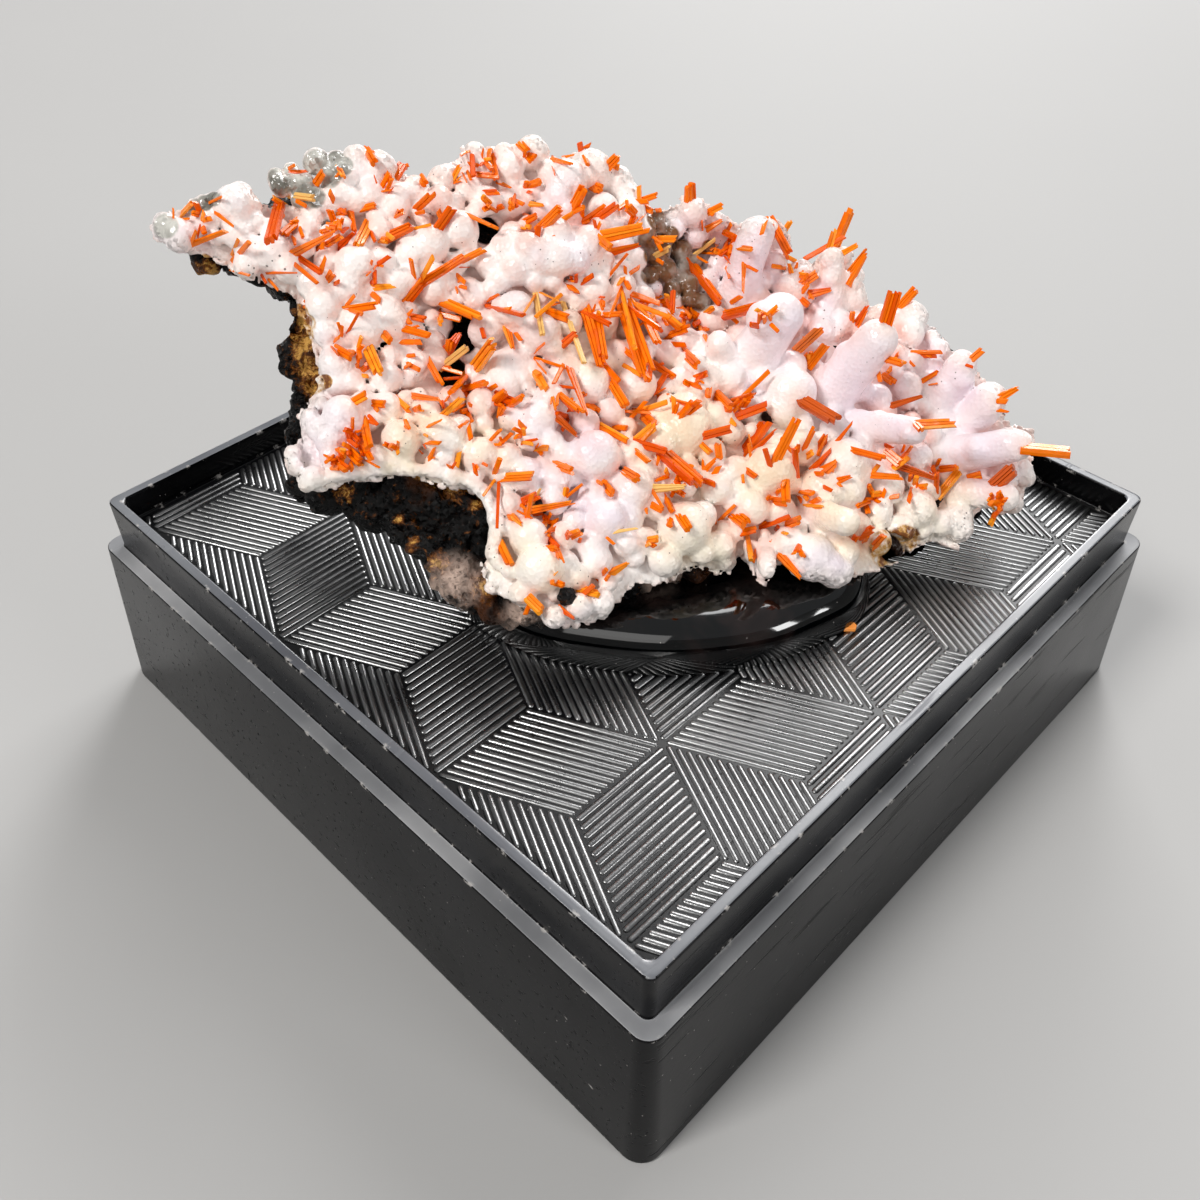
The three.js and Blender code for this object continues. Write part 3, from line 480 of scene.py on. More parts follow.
def edge_distance(edge, x, y):
    """Distance in view units from places to a closed edge, negative inside it."""
    edge = np.array(edge, float)
    nearest = np.full(x.shape, 1e9)
    inside = np.zeros(x.shape, bool)
    for (x0, y0), (x1, y1) in zip(edge, np.roll(edge, -1, axis=0)):
        dx, dy = x1 - x0, y1 - y0
        share = np.clip(((x - x0) * dx + (y - y0) * dy) / (dx * dx + dy * dy), 0, 1)
        nearest = np.minimum(nearest, (x - x0 - share * dx) ** 2 + (y - y0 - share * dy) ** 2)
        if dy:
            inside ^= ((y0 > y) != (y1 > y)) & (x < x0 + (y - y0) * dx / dy)
    return np.where(inside, -1, 1) * np.sqrt(nearest)


class Block:
    """Signed distances in mm on a grid of view places and heights; what is inside is negative."""

    def __init__(self, spans, cell):
        steps = (cell, cell, cell * UNIT_SIZE)
        self.axes = [np.arange(*span, step) for span, step in zip(spans, steps)]
        self.x, self.y = np.meshgrid(self.axes[0], self.axes[1], indexing="ij")
        self.lines = sight_lines(self.x, self.y)
        self.reach = reaches(self.lines)
        self.scale = self.reach / VIEW_LENGTH
        self.distance = np.full([len(a) for a in self.axes], FAR, np.float32)

    def slab(self, face, thickness, edge, turn, rim):
        """Fills a sheet under a face, bounded by an edge in view units, with rounded rims."""
        heights = self.axes[2]
        top = (heights - face[..., None]) * FACE_TILT
        bottom = ((face - thickness)[..., None] - heights) * FACE_TILT
        edge = (edge * self.scale)[..., None]
        self.distance = smooth_max(smooth_max(top, bottom, turn), edge, rim).astype(np.float32)

    def window(self, centre, units, tall):
        """The part of the grid within some units and heights of a centre (x, y, height)."""
        return tuple(
            slice(int(np.searchsorted(a, c - s)), int(np.searchsorted(a, c + s)) + 1)
            for a, c, s in zip(self.axes, centre, (units, units, tall))
        )

    def points(self, window):
        along = self.reach[window[:2]][..., None] - self.axes[2][window[2]]
        return EYE + self.lines[window[:2]][:, :, None, :] * along[..., None]

    def add(self, window, distance, blend):
        self.distance[window] = smooth_min(self.distance[window], distance, blend)

    def cut(self, window, distance, blend):
        self.distance[window] = smooth_max(self.distance[window], -distance, blend)

    def ball(self, x, y, units, height):
        """The grid window and distances of a ball with its centre at a place and height."""
        radius = view_size(x, y, units)
        window = self.window((x, y, height), units * 1.6 + 8, radius * 1.9 + 0.4)
        gap = np.linalg.norm(self.points(window) - place(x, y, height), axis=-1)
        return window, gap - radius

    def finger(self, root, tip):
        """The same for a round-ended finger between two (x, y, height, units)."""
        middle = [(a + b) / 2 for a, b in zip(root[:3], tip[:3])]
        units = math.hypot(root[0] - tip[0], root[1] - tip[1]) / 2 + root[3] * 1.6 + 8
        tall = abs(root[2] - tip[2]) / 2 + view_size(*root[:2], root[3]) * 2 + 0.6
        window = self.window(middle, units, tall)
        start, end = place(*root[:3]), place(*tip[:3])
        points = self.points(window) - start
        share = np.clip(points @ (end - start) / ((end - start) @ (end - start)), 0, 1)
        radius = (1 - share) * view_size(*root[:2], root[3]) + share * view_size(*tip[:2], tip[3])
        return window, np.linalg.norm(points - share[..., None] * (end - start), axis=-1) - radius


CORNERS = np.array(list(np.ndindex(2, 2, 2)))
CELL_EDGES = [(a, b) for a in range(8) for b in range(a + 1, 8) if abs(CORNERS[a] - CORNERS[b]).sum() == 1]


def skin(block):
    """The surface of a block as vertices in (x, y, height) and four-sided faces turned outward."""
    field = block.distance
    inside = field < 0
    cells = np.array(field.shape) - 1
    counts = sum(
        inside[i:i + cells[0], j:j + cells[1], k:k + cells[2]].astype(np.int8) for i, j, k in CORNERS
    )
    mixed = np.argwhere((counts > 0) & (counts < len(CORNERS)))
    values = [field[tuple((mixed + c).T)] for c in CORNERS]
    total = np.zeros(mixed.shape)
    crossed = np.zeros(len(mixed))
    for a, b in CELL_EDGES:
        crossing = (values[a] < 0) != (values[b] < 0)
        share = np.where(crossing, values[a] / np.where(crossing, values[a] - values[b], 1), 0)
        total += crossing[:, None] * (CORNERS[a] + share[:, None] * (CORNERS[b] - CORNERS[a]))
        crossed += crossing
    grid_places = mixed + total / crossed[:, None]
    number = np.full(cells, -1)
    number[tuple(mixed.T)] = np.arange(len(mixed))
    faces = []
    for axis in range(3):
        step, first, second = np.roll(np.eye(3, dtype=int), -axis, axis=0)
        low = inside[tuple(slice(0, n - s) for n, s in zip(field.shape, step))]
        high = inside[tuple(slice(s, n) for n, s in zip(field.shape, step))]
        for start, turned in ((low & ~high, False), (high & ~low, True)):
            edge = np.argwhere(start)
            ring = [edge - first - second, edge - second, edge, edge - first]
            quad = np.stack([number[tuple(c.T)] for c in ring], axis=1)
            faces.append(quad[:, ::-1] if turned else quad)
    steps = [a[1] - a[0] for a in block.axes]
    origin = [a[0] for a in block.axes]
    return origin + grid_places * steps, np.concatenate(faces)


# ---- Materials ----


class Nodes:
    """A material's node tree, with short calls for the nodes it is made of."""

    def __init__(self, name):
        self.material = bpy.data.materials.new(name)
        self.material.use_nodes = True
        self.tree = self.material.node_tree
        self.tree.nodes.clear()
        self.shader = self.tree.nodes.new("ShaderNodeBsdfPrincipled")
        output = self.tree.nodes.new("ShaderNodeOutputMaterial")
        self.tree.links.new(self.shader.outputs[0], output.inputs["Surface"])
        coordinates = self.tree.nodes.new("ShaderNodeTexCoord")
        self.where, self.facing = coordinates.outputs["Object"], coordinates.outputs["Normal"]

    def put(self, value, socket):
        if isinstance(value, bpy.types.NodeSocket):
            self.tree.links.new(value, socket)
        else:
            socket.default_value = value

    def set(self, **values):
        for name, value in values.items():
            self.put(value, self.shader.inputs[name.replace("_", " ")])

    def math(self, operation, a, b=0.0):
        node = self.tree.nodes.new("ShaderNodeMath")
        node.operation = operation
        self.put(a, node.inputs[0])
        self.put(b, node.inputs[1])
        return node.outputs[0]

    def noise(self, size, detail=2.0, roughness=0.5, where=None, distortion=0.0):
        """Noise with lumps of about a size in mm."""
        node = self.tree.nodes.new("ShaderNodeTexNoise")
        self.put(where or self.where, node.inputs["Vector"])
        node.inputs["Scale"].default_value = 0.5 / (size * MM)
        node.inputs["Detail"].default_value = detail
        node.inputs["Roughness"].default_value = roughness
        node.inputs["Distortion"].default_value = distortion
        return node.outputs["Fac"]

    def cells(self, size, output="Distance"):
        """Cells of about a size in mm: the distance from their middles, or a colour for each."""
        node = self.tree.nodes.new("ShaderNodeTexVoronoi")
        self.put(self.where, node.inputs["Vector"])
        node.inputs["Scale"].default_value = 1 / (size * MM)
        return node.outputs[output]

    def ramp(self, value, *stops):
        """A colour or grey from (position, colour) stops."""
        node = self.tree.nodes.new("ShaderNodeValToRGB")
        ramp = node.color_ramp
        while len(ramp.elements) < len(stops):
            ramp.elements.new(0.5)
        for element, (position, colour) in zip(ramp.elements, stops):
            element.position = position
            element.color = colour if isinstance(colour, tuple) else (colour, colour, colour, 1)
        self.put(value, node.inputs["Fac"])
        return node.outputs["Color"]

    def fade(self, value, low, high):
        """From 0 to 1 as a value goes from low to high."""
        node = self.tree.nodes.new("ShaderNodeMapRange")
        node.interpolation_type = "SMOOTHSTEP"
        self.put(value, node.inputs["Value"])
        node.inputs["From Min"].default_value, node.inputs["From Max"].default_value = low, high
        return node.outputs["Result"]

    def mix(self, share, a, b):
        node = self.tree.nodes.new("ShaderNodeMix")
        node.data_type = "RGBA"
        self.put(share, node.inputs[0])
        self.put(a, node.inputs[6])
        self.put(b, node.inputs[7])
        return node.outputs[2]

    def overlay(self, base, tone, share, strength=1.0):
        """A tone laid over a base where a share is above 0."""
        return self.mix(self.math("MULTIPLY", share, strength) if strength < 1 else share, base, tone)

    def attribute(self, name):
        node = self.tree.nodes.new("ShaderNodeAttribute")
        node.attribute_name = name
        return node.outputs["Fac"]

    def stretched(self, share, turn=0.0):
        """Places in which patterns come out longer in one direction."""
        node = self.tree.nodes.new("ShaderNodeMapping")
        self.put(self.where, node.inputs["Vector"])
        node.inputs["Rotation"].default_value = (0, 0, turn)
        node.inputs["Scale"].default_value = (1, share, 1)
        return node.outputs["Vector"]

    def vector(self, operation, a, b=None, scale=None):
        node = self.tree.nodes.new("ShaderNodeVectorMath")
        node.operation = operation
        self.put(a, node.inputs[0])
        if b is not None:
            self.put(b, node.inputs[1])
        if scale is not None:
            self.put(scale, node.inputs["Scale"])
        return node.outputs["Vector"]

    def facets(self, size, tilt):
        """The surface turned its own way in each small cell, like the faces of a crystal crust."""
        turn = self.vector("SUBTRACT", self.cells(size, "Color"), (0.5, 0.5, 0.5))
        turned = self.vector("ADD", self.facing, self.vector("SCALE", turn, scale=tilt))
        return self.vector("NORMALIZE", turned)

    def bump(self, height, depth, under=None, strength=1.0):
        """A bump of a depth in mm, on top of another."""
        node = self.tree.nodes.new("ShaderNodeBump")
        node.inputs["Distance"].default_value = depth * MM
        node.inputs["Strength"].default_value = strength
        self.put(height, node.inputs["Height"])
        if under:
            self.put(under, node.inputs["Normal"])
        return node.outputs["Normal"]


def colour(red, green, blue):
    """A colour from its 0-255 screen values."""
    return tuple((c / 255) ** 2.2 for c in (red, green, blue)) + (1,)


PORCELAIN = colour(252, 246, 242)
LILAC_WHITE = colour(238, 224, 234)
PAINTED_SHADE_PINK = colour(218, 158, 140)
CREAM_YELLOW = colour(248, 232, 192)
STAIN_GREY = colour(112, 110, 102)
BALL_BROWN = colour(122, 88, 62)
STAIN_PALE = colour(204, 202, 194)
SPECK_BLACK = colour(40, 32, 30)
SUGAR_WHITE = colour(244, 236, 228)
RUST_GOLD = colour(206, 156, 84)
RUST_BROWN = colour(120, 70, 28)
PAINTED_PIT_SHADE = colour(50, 34, 28)
CRYSTAL_GLOW = colour(240, 172, 140)
BALL_EDGE = (0.2, 0.4)
GLASSY_ROUGHNESS = (0.14, 0.14, 0.14, 1)
CRYSTAL_GRAIN = 0.15


def gibbsite_material():
    n = Nodes("gibbsite")
    rough, stain, brown = n.attribute("rough"), n.attribute("stain"), n.attribute("brown")
    mottle = n.noise(0.5, 3)
    lilac = n.math("MAXIMUM", n.attribute("lilac"), n.fade(n.noise(2.2, 3), 0.45, 0.75))
    base = n.mix(lilac, PORCELAIN, LILAC_WHITE)
    creamy = n.math("MULTIPLY", n.attribute("cream"), n.fade(n.noise(1.4, 3), 0.3, 0.65))
    base = n.overlay(base, CREAM_YELLOW, creamy)
    # Painted shade: pink darkening in creases, recesses and the shaded zones.
    base = n.overlay(base, PAINTED_SHADE_PINK, n.fade(n.attribute("recess"), 0.14, 0.92), 0.68)
    base = n.overlay(base, CRYSTAL_GLOW, n.attribute("glow"), 0.3)
    base = n.overlay(base, SUGAR_WHITE, rough, 0.5)
    grey_ball = n.ramp(mottle, (0.35, STAIN_GREY), (0.6, STAIN_PALE))
    base = n.overlay(base, grey_ball, n.fade(stain, *BALL_EDGE))
    brown_ball = n.ramp(mottle, (0.5, BALL_BROWN), (0.8, STAIN_PALE))
    base = n.overlay(base, brown_ball, n.fade(brown, *BALL_EDGE))
    crumbs = n.ramp(n.noise(0.3, 4, 0.7), (0.42, RUST_BROWN), (0.5, RUST_GOLD), (0.66, SUGAR_WHITE))
    rusty = n.math("ADD", n.attribute("rust"), n.math("MULTIPLY", mottle, 0.6))
    base = n.overlay(base, crumbs, n.fade(rusty, 0.5, 0.65))
    # Painted shade: dark brown deep in the holes.
    base = n.overlay(base, PAINTED_PIT_SHADE, n.fade(n.attribute("pit"), 0.2, 0.6))
    speck = n.math("ADD", n.cells(0.3), n.math("MULTIPLY", n.noise(1.2, 2), 0.5))
    base = n.overlay(base, SPECK_BLACK, n.fade(speck, 0.3, 0.27), 0.8)
    satin = n.ramp(mottle, (0.3, 0.24), (0.75, 0.5))
    glassy = n.fade(n.math("MAXIMUM", stain, brown), *BALL_EDGE)
    n.set(Base_Color=base, Roughness=n.overlay(satin, GLASSY_ROUGHNESS, glassy), IOR=1.57)
    sparkle = n.facets(CRYSTAL_GRAIN, n.math("MULTIPLY", rough, 0.9))
    sugar = n.bump(n.cells(0.16), 0.05, sparkle, 0.5)
    fine = n.bump(n.noise(0.22, 4, 0.6), 0.05, sugar, 0.55)
    n.set(Normal=n.bump(n.noise(0.7, 3), 0.12, fine, 0.5))
    return n.material


ROCK_BLACK = colour(4, 4, 4)
ROCK_BROWN = colour(66, 38, 20)
ROCK_OCHRE = colour(214, 162, 84)
ROCK_PALE = colour(216, 188, 172)


def rock_material():
    n = Nodes("rock")
    golden = n.attribute("golden")
    browner = n.math("ADD", n.noise(1.3, 4), n.math("MULTIPLY", golden, 0.25))
    base = n.mix(n.fade(browner, 0.56, 0.68), ROCK_BLACK, ROCK_BROWN)
    grains = n.noise(0.18, 6, 0.75, distortion=0.7)
    richer = n.math("ADD", grains, n.math("MULTIPLY", golden, 0.28))
    base = n.overlay(base, RUST_BROWN, n.fade(richer, 0.58, 0.68))
    base = n.overlay(base, ROCK_OCHRE, n.fade(richer, 0.67, 0.77))
    paler = n.math("MULTIPLY", n.attribute("pale"), n.fade(n.noise(0.6, 5), 0.34, 0.5))
    base = n.overlay(base, ROCK_PALE, paler)
    glitter = n.fade(n.cells(CRYSTAL_GRAIN, "Color"), 0.6, 0.75)
    n.set(
        Base_Color=base,
        Roughness=n.ramp(glitter, (0.0, 0.45), (1.0, 0.07)),
        Specular_IOR_Level=0.16,
        IOR=1.6,
    )
    n.set(Normal=n.bump(n.noise(0.5, 6, 0.7), 0.4, n.facets(CRYSTAL_GRAIN, 1.4)))
    return n.material


CROCOITE_ORANGE = colour(246, 120, 8)
CROCOITE_RED = colour(224, 84, 4)
CROCOITE_AMBER = colour(255, 158, 40)
CROCOITE_BROWN = colour(196, 84, 26)
CROCOITE_PALE = colour(240, 190, 110)


def crocoite_material():
    n = Nodes("crocoite")
    base = n.ramp(
        n.attribute("tint"),
        (0.0, CROCOITE_RED), (0.35, CROCOITE_ORANGE), (0.8, CROCOITE_ORANGE), (1.0, CROCOITE_AMBER),
    )
    base = n.overlay(base, CROCOITE_RED, n.fade(n.noise(0.35, 3), 0.5, 0.7), 0.4)
    base = n.overlay(base, CROCOITE_BROWN, n.attribute("dark"))
    base = n.overlay(base, CROCOITE_PALE, n.attribute("pale"))
    n.set(
        Base_Color=base,
        Roughness=n.ramp(n.noise(0.3, 2), (0.3, 0.12), (0.8, 0.34)),
        Specular_IOR_Level=0.24,
        IOR=1.6,
    )
    n.set(Normal=n.bump(n.noise(0.16, 3), 0.03, strength=0.5))
    return n.material


PLASTIC_BLACK = colour(10, 10, 12)
PLASTIC_FADED = colour(21, 21, 23)
# Painted light: the rim top and ledge are the same black plastic drawn grey where they face up into the
# lamps.
RIM_PAINTED_LIGHT = colour(84, 86, 92)
RIM_PAINTED_LIGHT_PALE = colour(114, 116, 120)
LEDGE_PAINTED_LIGHT = colour(120, 121, 124)
LEDGE_PAINTED_LIGHT_PALE = colour(176, 176, 178)
EDGE_PALE = colour(190, 186, 182)
MARK_STRENGTH = 0.7


def scratches(n, turn):
    """Fine straight scuffs in one direction."""
    return n.fade(n.noise(0.12, 1, where=n.stretched(0.04, turn)), 0.68, 0.74)


def dusty(n, base):
    """A base with specks of dust on it."""
    return n.overlay(base, EDGE_PALE, n.fade(n.cells(0.5), 0.06, 0.04), 0.5)


def worn_plastic(name, dark, faded_and_lit_tone, specular, rough):
    """Black moulded plastic with dust, nicked edges and fine scuffs; the grey rim and ledge colours given
    to it are painted light.
    """
    n = Nodes(name)
    scuff = n.math("MAXIMUM", scratches(n, 0.4), scratches(n, 2.1))
    base = dusty(n, n.mix(n.fade(n.noise(4.0, 5), 0.4, 0.7), dark, faded_and_lit_tone))
    marks = n.fade(n.noise(0.5, 2, where=n.stretched(0.2)), 0.77, 0.8)
    base = n.overlay(base, EDGE_PALE, marks, MARK_STRENGTH)
    worn = n.math("MULTIPLY", n.attribute("wear"), n.fade(n.noise(0.3, 5, 0.7), 0.56, 0.66))
    base = n.overlay(base, EDGE_PALE, worn, MARK_STRENGTH)
    sheen = n.ramp(n.noise(3.0, 4), (0.3, rough), (0.75, rough + 0.14))
    n.set(
        Base_Color=base,
        Roughness=n.math("ADD", sheen, n.math("MULTIPLY", scuff, 0.2)),
        IOR=1.5,
        Specular_IOR_Level=specular,
    )
    fine = n.bump(n.noise(0.12, 2), 0.006, strength=0.5)
    n.set(Normal=n.bump(n.math("MULTIPLY", scuff, -1.0), 0.008, fine, 0.5))
    return n.material


def wall_material():
    return worn_plastic("black_plastic", PLASTIC_BLACK, PLASTIC_FADED, 0.14, 0.16)


def tray_material():
    return worn_plastic("black_plastic_tray", PLASTIC_BLACK, PLASTIC_FADED, 0.5, 0.24)


def rim_painted_light_material():
    return worn_plastic("black_plastic_rim_painted_light", RIM_PAINTED_LIGHT, RIM_PAINTED_LIGHT_PALE, 1.0, 0.26)


def ledge_painted_light_material():
    return worn_plastic("black_plastic_ledge_painted_light", LEDGE_PAINTED_LIGHT, LEDGE_PAINTED_LIGHT_PALE, 0.5, 0.4)


def rib_material():
    n = Nodes("black_plastic_ribs")
    base = n.mix(n.fade(n.noise(5.0, 4), 0.4, 0.7), PLASTIC_BLACK, PLASTIC_FADED)
    n.set(
        Base_Color=dusty(n, base),
        Roughness=n.ramp(n.noise(0.8, 5, 0.7), (0.3, 0.22), (0.75, 0.42)),
        IOR=2.5,
        Specular_IOR_Level=0.8,
    )
    n.set(Normal=n.bump(n.noise(0.1, 3, 0.7), 0.014, strength=0.8))
    return n.material


GLUE_BLACK = colour(7, 9, 10)
GLUE_SMOKE = colour(52, 40, 38)


def glue_material():
    n = Nodes("black_glue")
    swirl = n.noise(2.4, 4, 0.55, distortion=1.2)
    base = n.overlay(GLUE_BLACK, GLUE_SMOKE, n.fade(swirl, 0.5, 0.72), 0.6)
    n.set(
        Base_Color=n.overlay(base, EDGE_PALE, n.fade(n.cells(0.6), 0.05, 0.03), 0.6),
        Roughness=n.ramp(swirl, (0.35, 0.05), (0.7, 0.12)),
        Coat_Weight=0.6,
        Coat_Roughness=0.04,
        IOR=1.5,
    )
    n.set(Normal=n.bump(n.noise(1.5, 2), 0.05, strength=0.4))
    return n.material


FLOOR_PALE = colour(172, 171, 170)
FLOOR_SHADE = colour(165, 164, 163)


def floor_material():
    n = Nodes("floor")
    n.set(Base_Color=n.overlay(FLOOR_PALE, FLOOR_SHADE, n.noise(9.0, 3), 0.25), Roughness=0.75)
    return n.material


# ---- Crust ----

CELL = 3.0  # step of the grid, in view units
PLACE_BLEND = 30
CRUST_SPANS = ((118, 1070), (112, 648), (-3.4, 6.4))
CRUST_THICKNESS = 0.7
CRUST_FACES_KEPT = 0.6
EDGE_THICKNESS = 0.35
EDGE_REACH = 30
SHEET_SINK = 0.22

# Lumps: how far their centres stand off the face as a share of their radius, how widely they blend
# into it in mm (glassy balls by a share of that), and how the small ones are strewn, in view units.
LUMP_PROUD = 0.38
SMALL_LUMP_PROUD = 0.3
GLASSY_PROUD = 0.5
GLASSY_BLEND = 0.3
LUMP_BLEND = 0.09
LUMP_FULL_RADIUS = 15
SMALL_LUMP_TRIES = 3500
SMALL_LUMP_RADIUS = 7
SMALL_LUMP_SPREAD = 9

# The broken rim, the lip, the fingers with their knobs, and the holes.
RIM_SPACING = 6
RIM_BLEND = 0.12
RIM_GRAIN = 2
LIP_LIFT = 0.12
LIP_GIRTH = 1.2
LIP_CLEAR = 0.4
FINGER_BLEND = 0.16
FINGER_GIRTH = 0.95
KNOB_BLEND = 0.1
KNOB_SHARES = (0.12, 0.28, 0.42, 0.58, 0.72, 0.86, 1.0)
PIT_STEP = 0.4

# What the looks read at each vertex: depths are in mm, reaches in view units.
# Crease and recess depths set the painted shade, a pinkish darkening of the crust's colour where it lies
# low.
CREASE_ROUNDS = 6
CREASE_DEPTH = 0.09
RECESS_REACH = 13
RECESS_DEPTH = 0.9
BROKEN_REACH = 14
GLOW_REACH = 9
GLOW_WIDTH = 8


def between(places, x, y):
    """Values given at view places, blended between them."""
    values = weights = 0.0
    for px, py, value in places:
        weight = ((px - x) ** 2 + (py - y) ** 2 + PLACE_BLEND ** 2) ** -2.0
        values = values + weight * value
        weights = weights + weight
    return values / weights


def relief(x, y):
    """Height of the face off its plane at view places."""
    return between(FACE_RELIEF, x, y)


def nearness(zones, x, y):
    """From 0 to 1: how far view places lie within the nearest of some round zones (x, y, radius)."""
    share = np.zeros(np.shape(x))
    for zx, zy, radius in zones:
        share = np.maximum(share, 1 - np.hypot(x - zx, y - zy) / radius)
    return np.clip(share, 0, 1)


def widened(zones, growth=1.5):
    """Round zones that also cover the creases beside them."""
    return [(x, y, growth * radius) for x, y, radius in zones]


def add_lumps(block, lumps, proud, blend=1.0):
    """Balls whose centres stand off the face by a share of their radius, a little uneven."""
    for x, y, units in lumps:
        lift = view_size(x, y, units) * (proud + RNG.uniform(-0.2, 0.2)) * min(1, LUMP_FULL_RADIUS / units)
        ball = block.ball(x, y, units, relief(x, y) + lift)
        block.add(*ball, LUMP_BLEND * blend * RNG.uniform(0.5, 1.5))


def small_lumps(edge, taken):
    """Places for small balls that fill the room between the larger ones."""
    low, high = np.min(edge, axis=0), np.max(edge, axis=0)
    found = [list(t) for t in taken]
    made = []
    for _ in range(SMALL_LUMP_TRIES):
        x, y = RNG.uniform(low, high)
        units = SMALL_LUMP_RADIUS + SMALL_LUMP_SPREAD * RNG.uniform() ** 1.2
        if edge_distance(edge, np.array(x), np.array(y)) > -units:
            continue
        others = np.array(found)
        if (np.hypot(others[:, 0] - x, others[:, 1] - y) < 0.7 * others[:, 2] + 0.5 * units).any():
            continue
        found.append([x, y, units])
        made.append((x, y, units))
    return made


def add_ragged_rim(block):
    """Uneven small grains along the broken edge."""
    edge = np.array(CRUST_EDGE, float)
    for start, end in zip(edge, np.roll(edge, -1, axis=0)):
        for share in np.arange(0, 1, RIM_SPACING / np.linalg.norm(end - start)):
            x, y = start + share * (end - start) + RNG.normal(0, 0.8, 2)
            sugary = float(nearness(SUGARY, x, y))
            units = RIM_GRAIN + (1.2 + 3 * sugary) * RNG.uniform() ** 1.5
            height = relief(x, y) - RNG.uniform(0.1, EDGE_THICKNESS)
            if nearness(widened(LIP), x, y) < LIP_CLEAR:
                block.add(*block.ball(x, y, units, height), RIM_BLEND)


def add_lip(block):
    """The smooth raised lip of the crust round the hollow at its lower left."""
    places = [(x, y, relief(x, y) + LIP_LIFT, units * LIP_GIRTH) for x, y, units in LIP]
    for start, end in zip(places, places[1:]):
        block.add(*block.finger(start, end), RIM_BLEND)


def add_fingers(block):
    """The stalactite fingers, each with a few knobs on it."""
    for x0, y0, x1, y1, root_units, tip_units, tip_height in FINGERS:
        root = (x0, y0, relief(x0, y0) - 0.1, root_units * FINGER_GIRTH)
        tip = (x1, y1, relief(x1, y1) + tip_height, tip_units * FINGER_GIRTH)
        block.add(*block.finger(root, tip), FINGER_BLEND)
        for share in KNOB_SHARES:
            x, y, height, units = (a + (b - a) * share for a, b in zip(root, tip))
            x += RNG.normal(0, 0.25) * units
            y += RNG.normal(0, 0.25) * units
            knob = block.ball(x, y, units * RNG.uniform(0.55, 0.88), height + RNG.uniform(0, 0.15))
            block.add(*knob, KNOB_BLEND)


def crust_block():
    block = Block(CRUST_SPANS, CELL)
    edge = edge_distance(CRUST_EDGE, block.x, block.y)
    inward = np.clip(-edge / EDGE_REACH, 0, 1)
    thickness = EDGE_THICKNESS + (CRUST_THICKNESS - EDGE_THICKNESS) * inward
    block.slab(relief(block.x, block.y) - SHEET_SINK, thickness, edge, turn=0.2, rim=0.35)
    add_ragged_rim(block)
    add_lip(block)
    add_lumps(block, LUMPS, LUMP_PROUD)
    taken = LUMPS + GREY_BALLS + BROWN_BALLS + [pit[:3] for pit in PITS]
    add_lumps(block, small_lumps(CRUST_EDGE, taken), SMALL_LUMP_PROUD)
    add_fingers(block)
    for x, y, units, depth in PITS:
        for sunk in np.arange(0, depth + 0.01, PIT_STEP):
            block.cut(*block.ball(x, y, units, relief(x, y) - sunk), LUMP_BLEND)
    add_lumps(block, GREY_BALLS + BROWN_BALLS, GLASSY_PROUD, GLASSY_BLEND)
    return block


def main_body(vertices, faces):
    """The largest joined body of a mesh, without the loose crumbs."""
    label = np.arange(len(vertices))
    while True:
        lowest = label[faces].min(axis=1)
        new = label.copy()
        np.minimum.at(new, faces.ravel(), np.repeat(lowest, faces.shape[1]))
        new = new[new]
        if (new == label).all():
            break
        label = new
    keep = label == np.bincount(label).argmax()
    renumber = np.cumsum(keep) - 1
    return vertices[keep], renumber[faces[keep[faces[:, 0]]]]


def vertex_normals(vertices, faces):
    corners = vertices[faces]
    across = np.cross(corners[:, 2] - corners[:, 0], corners[:, 3] - corners[:, 1])
    normals = np.zeros(vertices.shape)
    for corner in range(faces.shape[1]):
        np.add.at(normals, faces[:, corner], across)
    return normals / np.maximum(np.linalg.norm(normals, axis=1, keepdims=True), 1e-12)


def soften(values, reach):
    """A blurred copy of a grid of values."""
    kernel = np.exp(-0.5 * (np.arange(-3 * reach, 3 * reach + 1) / reach) ** 2)
    kernel /= kernel.sum()

    def soften_row(row):
        return np.convolve(np.pad(row, 3 * reach, "edge"), kernel, "valid")

    for axis in (0, 1):
        values = np.apply_along_axis(soften_row, axis, values)
    return values


def crease_of(vertices, faces, normals):
    """How far vertices lie under their near surroundings, in mm: above 0 in creases, below 0 on lumps.
    Feeds the painted shade.
    """
    shares = np.bincount(faces.ravel(), minlength=len(vertices))[:, None]
    smooth = vertices
    for _ in range(CREASE_ROUNDS):
        centres = smooth[faces].mean(axis=1)
        smooth = sum(
            np.stack([np.bincount(corner, along, len(vertices)) for along in centres.T], axis=1)
            for corner in faces.T
        ) / shares
    return ((smooth - vertices) * normals).sum(axis=1)


def recess_of(block, places):
    """From 0 to 1: how deep vertices lie under the general level round them, for the painted shade."""
    filled = block.distance < 0
    highest = block.axes[2][-1] - CELL * UNIT_SIZE * filled[:, :, ::-1].argmax(axis=2)
    tops = np.where(filled.any(axis=2), highest, relief(block.x, block.y))
    general = soften(tops, max(2, round(RECESS_REACH / CELL)))
    i, j = (
        np.clip(np.rint((places[:, k] - block.axes[k][0]) / CELL).astype(int), 0, tops.shape[k] - 1)
        for k in (0, 1)
    )
    return np.clip((general[i, j] - places[:, 2]) / RECESS_DEPTH, 0, 1)


def pit_of(x, y, height):
    """From 0 to 1: how far vertices lie down in a hole, where painted shade darkens them."""
    near = nearness([(px, py, 1.5 * units) for px, py, units, _ in PITS], x, y) * 2.5
    return np.clip(near, 0, 1) * np.clip((relief(x, y) - 0.1 - height) / 0.3, 0, 1)


def glow_of(x, y):
    """From 0 to 1: how much orange light the crust takes up from the prisms beside it."""
    glow = np.zeros(x.shape)
    for px, py, _, _, units in PRISMS:
        glow += units / GLOW_WIDTH * np.exp(-((x - px) ** 2 + (y - py) ** 2) / (2 * GLOW_REACH ** 2))
    return np.clip(glow, 0, 1)


